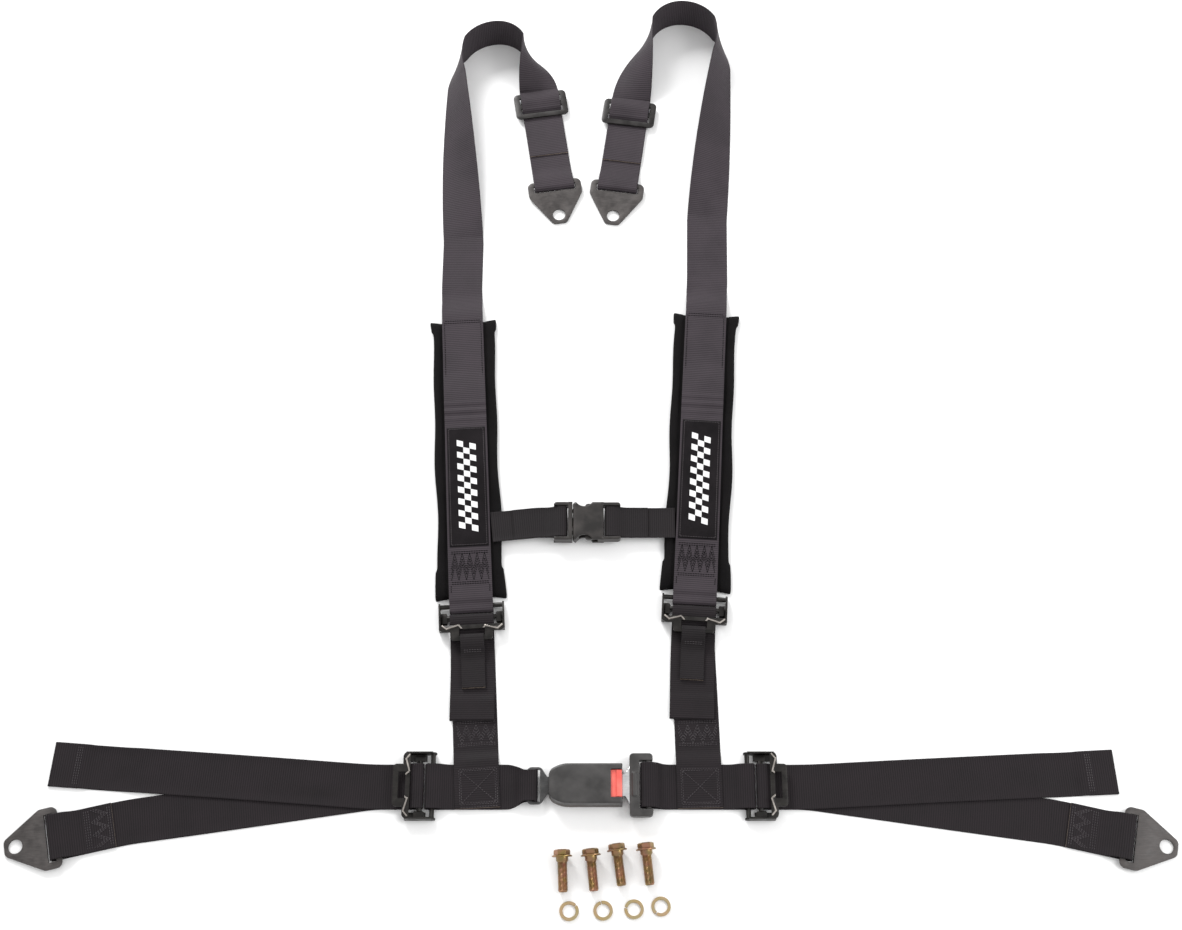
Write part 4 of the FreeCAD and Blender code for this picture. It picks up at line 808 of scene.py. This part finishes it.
def stitch_side(side, spec):
    """Every sewn place of one side."""
    half = f"{side}_half"
    edge = WEB / 2 - 3.5 * MM
    top_of = {count: layer(count) + THICK / 2 for count in (1, 2, 3)}

    bar, heading = pivot(f"tab_swing_lap_{side}")
    seam = Seam(on_floor(bar, heading, top_of[2]), 5).rows((-31, -33.5, -36, -57, -59.5), edge)
    seam.zigzags((-57, -54, -51), 13, edge, 3)
    seam.build(f"lap_anchor_stitches_{side}", half, "lap_webbing")

    adjuster, outward = pivot(f"tilt_lap_{side}")
    turn, length = spec["lap_tail"]
    start = adjuster + heading_vector(outward) * REACH
    middle = start + heading_vector(outward + turn / 2) * (40 * MM)
    end = middle + heading_vector(outward + turn) * (length - 40 * MM)
    seam = Seam(on_floor(end, outward + turn, top_of[2]), 6).rows((3, 5.4, 7.8), edge, -LAP_HEM)
    seam.build(f"lap_hem_stitches_{side}", half, "lap_webbing")

    sewn = Vector((spec["sewn_x"], LAP_LINE, 0))
    adjuster, heading = pivot(f"tilt_shoulder_{side}")
    upward = heading_of(adjuster + heading_vector(heading) * REACH - sewn)
    x, y = 20 * MM, 21 * MM
    seam = Seam(on_floor(sewn, upward, top_of[3]), 7).frame((-x, -y), (x, y), 2)
    seam.cross((2 * MM - x, 2 * MM - y), (x - 2 * MM, y - 2 * MM)).rows((-23,), y)
    seam.build(f"belt_joint_stitches_{side}", half, "lap_webbing")

    seam = Seam(on_floor(sewn + heading_vector(upward) * 61 * MM, upward, top_of[1]), 8)
    seam.rows((-13, -11, 13, 15), edge).zigzags((-11, -7, -3), 14, edge, 4)
    seam.build(f"lower_stitches_{side}", half, "shoulder_webbing")

    top, pad_heading = pad_place(side)
    strap_top = STRAP_ON_PAD + THICK / 2
    block = PATCH["start"] + PATCH["length"] + 6 * MM
    seam = Seam(on_floor(top, pad_heading, strap_top), 9).rows((0, 2.4, 38, 40.4), edge, block)
    seam.zigzags((2, 9, 16), 20, edge, 5, block)
    for place in (-edge - 0.6 * MM, edge + 0.6 * MM):
        seam.line((4 * MM, place), (PATCH["start"] - 38 * MM, place), 3.4 * MM)
        seam.line((block + 42 * MM, place), (PAD["length"] - 6 * MM, place), 3.4 * MM)
    seam.rows((3, 6), edge).build(f"pad_stitches_{side}", half, "pad_fabric", "dark_thread")

    seam = Seam(on_floor(top, pad_heading, strap_top + 0.1 * MM + PATCH["thick"]), 10)
    inset, y = 2.2 * MM, PATCH["width"] / 2 - 2.2 * MM
    seam.frame((PATCH["start"] + inset, -y), (PATCH["start"] + PATCH["length"] - inset, y))
    seam.build(f"patch_stitches_{side}", half, "patch_fabric")


# ---- pads and patches

def pad_half_width(place):
    """Half the width of a pad at a place along it: flared at both ends."""
    length, wide, narrow = PAD["length"], PAD["wide"], PAD["narrow"]
    near = max(0.0, 1 - place / 0.022)
    far = max(0.0, 1 - (length - place) / 0.042)
    return narrow + (wide - narrow) * (near ** 1.6 + far ** 1.4)


def pad_start_mesh(name):
    """A closed slab in pad coordinates, thinner at its rim and pinched at its sewn ends."""
    along = np.linspace(0.6 * MM, PAD["length"] - 0.6 * MM, 93)
    across = np.linspace(-1, 1, 21)
    top, bottom = [], []
    for x in along:
        half = pad_half_width(x) - 0.8 * MM
        from_end = min(x, PAD["length"] - x)
        pinch = min(1.0, 0.5 + 0.5 * sin(min(1.0, from_end / 0.016) * pi / 2))
        for share in across:
            rim = math.sqrt(max(0.0, 1 - abs(share) ** 7))
            rise = 7.6 * MM * pinch * (0.45 + 0.55 * rim)
            top.append((x, share * half, 1.2 * MM + rise))
            bottom.append((x, share * half, 0.9 * MM + 1.4 * MM * (1 - rim)))
    piece = mesh_piece(name, top + bottom, slab_faces(len(along), len(across)), ("pad",))
    fix_normals(piece)
    return piece


def applied(piece):
    """Replace a piece's mesh with what its modifiers make of it."""
    bpy.context.view_layer.update()
    graph = bpy.context.evaluated_depsgraph_get()
    mesh = bpy.data.meshes.new_from_object(piece.evaluated_get(graph), depsgraph=graph)
    piece.modifiers.clear()
    piece.data = mesh
    return piece


def swell(piece, cap):
    """Blow the pad up by cloth simulation, held where the webbing is sewn on and where it lies."""
    before = np.array([v.co for v in piece.data.vertices])
    held = piece.vertex_groups.new(name="held")
    for vertex in piece.data.vertices:
        if abs(vertex.co.y) < WEB / 2 - 1 * MM or vertex.co.z < 2.2 * MM:
            held.add([vertex.index], 1.0, "REPLACE")
    cloth = modify(piece, "CLOTH").settings
    cloth.use_pressure = True
    cloth.uniform_pressure_force = 4.0
    cloth.vertex_group_mass = "held"
    cloth.effector_weights.gravity = 0.0
    scene = bpy.context.scene
    for step in range(1, 21):
        scene.frame_set(step)
    applied(piece)
    scene.frame_set(1)
    move = np.array([v.co for v in piece.data.vertices]) - before
    size = np.linalg.norm(move, axis=1, keepdims=True)
    after = before + move * np.minimum(1.0, cap / np.maximum(size, 1e-9))
    piece.data.vertices.foreach_set("co", after.ravel())


def fill_out(piece):
    """Bring a simulated pad back to its cut length and width."""
    points = np.array([vertex.co for vertex in piece.data.vertices])
    low, high = points[:, 0].min(), points[:, 0].max()
    points[:, 0] = (points[:, 0] - low) * PAD["length"] / (high - low)
    middle = np.abs(points[:, 0] - PAD["length"] / 2) < 0.1
    points[:, 1] *= PAD["narrow"] / np.abs(points[middle, 1]).max()
    piece.data.vertices.foreach_set("co", points.ravel())


def pad(side):
    """A swelled pad with its sewn lane, its rim seam and its pinched ends."""
    piece = pad_start_mesh(f"pad_cushion_{side}")
    modify(piece, "REMESH", mode="VOXEL", voxel_size=4.2 * MM)
    applied(piece)
    swell(piece, 4 * MM)
    modify(piece, "SUBSURF", levels=2)
    applied(piece)
    fill_out(piece)
    top, heading = pad_place(side)
    turn = Matrix.Rotation(radians(heading), 4, "Z")
    draw = random.Random(3 + SIDES[side])
    phases = [draw.uniform(0, 2 * pi) for _ in range(3)]
    for vertex in piece.data.vertices:
        x, y, z = vertex.co
        lane = abs(y) - WEB / 2
        flank = exp(-((lane - 1.5 * MM) / (2.4 * MM)) ** 2)
        z -= 1.6 * MM * flank * (z > 4 * MM)
        half = pad_half_width(min(max(x, 0.0), PAD["length"]))
        rim = exp(-((z - 4.4 * MM) / (0.9 * MM)) ** 2) * (abs(y) > half - 6 * MM)
        y -= math.copysign(1.1 * MM * rim, y)
        puff = sin(x / 0.021 + phases[0]) + sin(x / 0.047 + phases[1] + y * 60)
        z += 0.28 * MM * puff * (z > 4 * MM) * (lane > 3 * MM)
        share = min(1.0, abs(y) / half)
        y += (0.9 * sin(x / 0.019 + phases[2]) + 0.7 * sin(x / 0.034 + phases[0])) * MM * share
        for end, sign in ((0.0, -1), (PAD["length"], 1)):
            corner = exp(-((x - end) / (14 * MM)) ** 2)
            x += sign * corner * (2.5 * MM * share ** 5 - 2.5 * MM * (1 - share ** 2))
        for end in (0.0, PAD["length"]):
            z -= 1.2 * MM * exp(-((x - end) / (3 * MM)) ** 2) * (z > 3 * MM)
        if lane < 1.5 * MM:
            z = min(z, PAD["thick"] - 0.15 * MM)
        vertex.co = Vector((x, y, max(z, 0.15 * MM)))
    piece.data.transform(Matrix.Translation(top) @ turn)
    piece.data.materials.clear()
    piece.data.materials.append(MATERIALS["pad"])
    shade(piece.data)
    finish_piece(piece, f"{side}_half", "pad_fabric", f"shoulder_pad_{side}")


def pad_patch(side):
    """A woven patch with a rolled edge and a plain chequered band printed on it."""
    top, heading = pad_place(side)
    base = STRAP_ON_PAD + THICK / 2 + 0.1 * MM
    turn = Matrix.Translation(flat(top, base)) @ Matrix.Rotation(radians(heading), 4, "Z")
    rows, cols = 64, 20
    half = PATCH["width"] / 2
    vertices = []
    for i in range(rows + 1):
        for j in range(cols + 1):
            u, v = 2 * i / rows - 1, 2 * j / cols - 1
            rim = 1 - max(abs(u) ** 60, abs(v) ** 20)
            height = PATCH["thick"] * (0.25 + 0.75 * rim ** 0.5)
            vertices.append((PATCH["start"] + PATCH["length"] * (u + 1) / 2, v * half, height))
    vertices += [(x, y, 0.0) for x, y, _ in vertices]
    piece = mesh_piece(f"patch_{side}", vertices, slab_faces(rows + 1, cols + 1), ("patch",))
    fix_normals(piece)
    piece.data.transform(turn)
    finish_piece(piece, f"{side}_half", "patch_fabric", f"pad_patch_{side}")
    motif(side, turn)


def motif(side, turn):
    """Three slanted columns of white squares, chequered."""
    size, slant = 7.6 * MM, 0.28
    vertices, faces = [], []
    for row in range(15):
        for column in range(row % 2, 3, 2):
            x0 = PATCH["start"] + 20 * MM + row * size
            y0 = (column - 1.5) * size
            faces += tube_faces(2, 4, len(vertices))
            for height in (PATCH["thick"] - 0.1 * MM, PATCH["thick"] + 0.12 * MM):
                for x, y in ((x0, y0), (x0 + size, y0), (x0 + size, y0 + size), (x0, y0 + size)):
                    vertices.append((x + slant * y, y, height))
    piece = mesh_piece(f"patch_motif_{side}", vertices, faces, ("print",), smooth=False)
    piece.data.transform(turn)
    finish_piece(piece, f"{side}_half", "patch_fabric")


# ---- moulded and metal pieces

def node_copy(name, node, material):
    """A new piece with the shape of a frame node."""
    source = frame["nodes"][node].data
    vertices = [vertex.co for vertex in source.vertices]
    faces = [polygon.vertices for polygon in source.polygons]
    return mesh_piece(name, vertices, faces, (material,), smooth=False)


def node_body(node):
    """The body that a frame node rides on."""
    return frame["nodes"][node]["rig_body"]


def bevelled(name, node, material, slot, width):
    """A steel piece with its edges broken."""
    piece = node_copy(name, node, material)
    modify(piece, "WELD", merge_threshold=0.002 * MM)
    modify(piece, "DECIMATE", decimate_type="DISSOLVE", angle_limit=radians(1.0))
    edges = {"limit_method": "ANGLE", "angle_limit": radians(40), "use_clamp_overlap": True}
    modify(piece, "BEVEL", width=width, segments=2, **edges)
    modify(piece, "TRIANGULATE", keep_custom_normals=False)
    applied(piece)
    shade_by_angle(piece, 32)
    return finish_piece(piece, node_body(node), slot, node)


def bright_lips(piece):
    """The bare sheared edges that stand up from an adjuster's bridge."""
    piece.data.materials.append(MATERIALS["sheared"])
    for polygon in piece.data.polygons:
        if polygon.center.z > 12.2 * MM:
            polygon.material_index = 1


def shade_by_angle(piece, degrees):
    """Smooth shading, with edges sharper than an angle left sharp."""
    shade(piece.data)
    work = bmesh.new()
    work.from_mesh(piece.data)
    for edge in work.edges:
        edge.smooth = not (edge.is_manifold and edge.calc_face_angle(0.0) > radians(degrees))
    work.to_mesh(piece.data)
    work.free()


def case_crown(point):
    """Fill out the straight taper of the lap buckle's case, and crown its top."""
    share = min(1.0, max(0.0, (point.x + 47 * MM) / (22 * MM)))
    filled = (13.5 + 9 * sin(pi / 2 * share) ** 0.75) / (13.5 + 9 * share)
    point.y = LAP_LINE + (point.y - LAP_LINE) * filled
    top = min(1.0, max(0.0, (point.z - 19.8 * MM) / (2 * MM)))
    point.z -= top * (1.2 * MM * (abs(point.y - LAP_LINE) / (22.5 * MM)) ** 3 + 0.8 * MM * (1 - share) ** 2)


def moulded(name, node, material, slot, voxel, rounds, shape=None):
    """A plastic piece with softened edges, as from a mould."""
    piece = node_copy(name, node, material)
    modify(piece, "REMESH", mode="VOXEL", voxel_size=voxel)
    modify(piece, "SMOOTH", iterations=rounds, factor=0.5)
    modify(piece, "DECIMATE", ratio=0.35)
    applied(piece)
    for vertex in piece.data.vertices if shape else ():
        shape(vertex.co)
    shade(piece.data)
    return finish_piece(piece, node_body(node), slot, node)


def metalwork():
    """Tabs, slides, adjusters, tongue blade, buckle frame and springs."""
    for side in SIDES:
        for kind in ("lap", "shoulder"):
            bevelled(f"tab_{kind}_{side}", f"anchor_tab_{kind}_{side}", "tab_steel", "phosphate_steel", 0.45 * MM)
            bright_lips(bevelled(
                f"adjuster_{kind}_{side}", f"adjuster_frame_{kind}_{side}", "black_steel", "black_steel", 0.3 * MM
            ))
            bevelled(f"bar_{kind}_{side}", f"locking_bar_{kind}_{side}", "black_steel", "black_steel", 0.3 * MM)
        bevelled(f"slide_{side}", f"shoulder_slide_{side}", "slide_steel", "black_steel", 0.4 * MM)
    bevelled("blade", "tongue_blade", "bright_steel", "bright_steel", 0.3 * MM)
    bevelled("ring_plate", "buckle_frame", "ring_steel", "buckle_steel", 0.4 * MM)
    for node, material in (("buckle_latch", "ring_steel"), ("ejector_spring", "spring")):
        paint(node, material)
    coils = node_copy("button_coils", "button_spring", "spring")
    finish_piece(coils, node_body("button_spring"), "spring_steel", "button_spring")
    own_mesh(coils)


def plastics():
    """The lap buckle's case and button, the tongue's frame and the sternum clip."""
    moulded("case_base", "buckle_base", "case_base", "case_plastic", 0.55 * MM, 4, shape=case_crown)
    moulded("case_cover", "buckle_cover", "case", "case_plastic", 0.55 * MM, 6, shape=case_crown)
    moulded("button_cap", "release_button", "button", "button_plastic", 0.45 * MM, 5)
    moulded("tongue_frame", "tongue_grip", "case", "case_plastic", 0.55 * MM, 6)
    for part in ("male", "arms", "female"):
        moulded(f"clip_{part}", f"sternum_buckle_{part}", "clip", "clip_plastic", 0.5 * MM, 4)
    paint("ejector", "case")


def paint(node, material):
    """Give a frame node a better material."""
    mesh = frame["nodes"][node].data
    mesh.materials.clear()
    mesh.materials.append(MATERIALS[material])


# ---- bolts and washers

BOLT_PLACES = ((-32.0, -522.0, -88.0), (-1.0, -521.0, -84.5), (27.6, -515.5, -82.5), (59.7, -514.5, -84.0))
WASHER_PLACES = ((-23.9, -587.0), (13.1, -586.5), (46.8, -585.0), (76.2, -582.0))
BOLT = {"flats": 15.9 * MM, "flange": 11.2 * MM, "shoulder": 6.6 * MM, "thread": 5.5 * MM, "length": 46 * MM}


def hex_radius(angle):
    """The radius of a hexagon of the head's size at an angle."""
    sector = (angle + pi / 6) % (pi / 3) - pi / 6
    return BOLT["flats"] / 2 / cos(sector)


def bolt_rings():
    """The bolt from head to tip: height, radius, and whether it is the hexagon or the thread."""
    flange, shoulder, thread, length = (BOLT[key] for key in ("flange", "shoulder", "thread", "length"))
    head = ((0.0, 0.80), (0.25, 0.86), (1.0, 0.985), (5.2, 1.0), (5.7, 0.985))
    neck = (
        (5.75, flange * 0.78), (6.3, flange * 0.94), (6.9, flange), (7.6, flange), (8.0, flange * 0.97),
        (8.0, shoulder * 1.03), (12.0, shoulder), (13.4, thread * 1.05), (13.8, thread * 0.95),
    )
    step = 0.22 * MM
    rings = [(height * MM, share, "hex") for height, share in head]
    rings += [(height * MM, radius, "round") for height, radius in neck]
    rings += [(14.2 * MM + step * index, thread, "thread") for index in range(int((length - 15.5 * MM) / step))]
    return rings + [(length - 0.8 * MM, thread * 0.86, "round"), (length, thread * 0.72, "round")]


def bolt(name, place):
    """A hexagon-head flange bolt with a real thread, lying on its flange and its tip."""
    around, pitch, depth = 72, 1.27 * MM, 0.62 * MM
    vertices = []
    for height, radius, kind in bolt_rings():
        for index in range(around):
            angle = 2 * pi * index / around
            if kind == "hex":
                size = hex_radius(angle) * radius
            elif kind == "thread":
                phase = (height / pitch - angle / (2 * pi)) % 1.0
                size = radius - depth * (1 - abs(2 * phase - 1)) ** 1.2
            else:
                size = radius
            vertices.append((size * cos(angle), size * sin(angle), height))
    piece = mesh_piece(name, vertices, tube_faces(len(vertices) // around, around), ("gold",))
    shade_by_angle(piece, 38)
    x, y, heading = place
    lean = atan2(BOLT["flange"] - BOLT["thread"], BOLT["length"] - 8 * MM)
    height = BOLT["flange"] * cos(lean) + 8 * MM * sin(lean)
    tip = Matrix.Rotation(pi / 2 + lean, 4, "Y")
    turn = Matrix.Rotation(radians(heading), 4, "Z")
    piece.data.transform(Matrix.Translation((x * MM, y * MM, height)) @ turn @ tip)
    return piece


def washer(name, place, start_degrees):
    """A split lock washer: a ring of square section whose cut ends stand apart."""
    outer, inner, thick = 10.6 * MM, 7.2 * MM, 2.6 * MM
    section = []
    for x, z in ((0, 0), (1, 0), (1, 1), (0, 1)):
        corner = Vector((inner + (outer - inner) * x, thick * z))
        for sign_x, sign_z in (((1, 0), (0, 1)) if (x, z) in ((0, 0), (1, 1)) else ((0, 1), (1, 0))):
            section.append((corner.x + sign_x * (0.5 - x) * 0.9 * MM, corner.y + sign_z * (0.5 - z) * 0.9 * MM))
    section.sort(key=lambda p: atan2(p[1] - thick / 2, p[0] - (outer + inner) / 2))
    steps = 90
    vertices = []
    for index in range(steps + 1):
        share = index / steps
        angle = radians(start_degrees + 4 + 352 * share)
        rise = 0.55 * MM * (share - 0.5) * 0.9
        for radius, height in section:
            vertices.append((radius * cos(angle), radius * sin(angle), height + rise + 0.25 * MM))
    piece = mesh_piece(name, vertices, tube_faces(steps + 1, len(section)), ("pale",))
    fix_normals(piece)
    shade_by_angle(piece, 40)
    piece.data.transform(Matrix.Translation((place[0] * MM, place[1] * MM, 0)))
    return piece


def fasteners():
    """Four anchor bolts and four lock washers."""
    for index, place in enumerate(BOLT_PLACES):
        finish_piece(bolt(f"anchor_bolt_{index}", place), "left_half", "gold_zinc", "anchor_bolts")
    for index, place in enumerate(WASHER_PLACES):
        piece = washer(f"lock_washer_{index}", place, 40 + 65 * index)
        finish_piece(piece, "left_half", "pale_zinc", "lock_washers")


# ---- stage

def stage():
    """A plain white floor, soft studio light and the camera."""
    mesh = bpy.data.meshes.new("floor")
    size = 6.0
    mesh.from_pydata([(-size, -size, 0), (size, -size, 0), (size, size, 0), (-size, size, 0)], [], [(0, 1, 2, 3)])
    white = Shader("floor_white", Roughness=0.9, Specular_IOR_Level=0.1)
    mesh.materials.append(white.finish(white.mix(white.noise(3.0, 3.0, 0.0, 1.0), (0.93,) * 3, (0.96,) * 3)))
    new_object("floor", mesh)

    world = bpy.data.worlds.new("studio")
    bpy.context.scene.world = world
    world.use_nodes = True
    background = world.node_tree.nodes["Background"].inputs
    background["Color"].default_value = (1, 1, 1, 1)
    background["Strength"].default_value = 0.9
    for name, place, size, power in (
        ("key", (-1.1, 2.2, 1.6), 1.0, 70.0),
        ("fill", (1.9, -0.3, 1.7), 1.2, 22.0),
    ):
        light = bpy.data.lights.new(name, "AREA")
        light.size = size
        light.energy = power
        lamp = new_object(name, light)
        lamp.location = place
        lamp.rotation_euler = (-Vector(place)).to_track_quat("-Z", "Y").to_euler()

    camera_data = bpy.data.cameras.new("camera")
    camera_data.lens = 55.49
    camera_data.sensor_width = 36.0
    camera = new_object("camera", camera_data)
    camera.location = (0.0, -0.9498, 2.0098)
    camera.rotation_euler = (radians(24.0), 0.0, 0.0)
    bpy.context.scene.camera = camera
    bpy.context.scene.view_settings.view_transform = "Standard"


stage()
for side, spec in LAYOUT.items():
    lap_outer(side, spec)
    lap_inner(side, spec)
    shoulder_lower(side, spec)
    shoulder_upper(side, spec)
    sternum_strap(side, spec)
    pull_tab(side)
    pad(side)
    pad_patch(side)
    stitch_side(side, spec)
metalwork()
plastics()
fasteners()
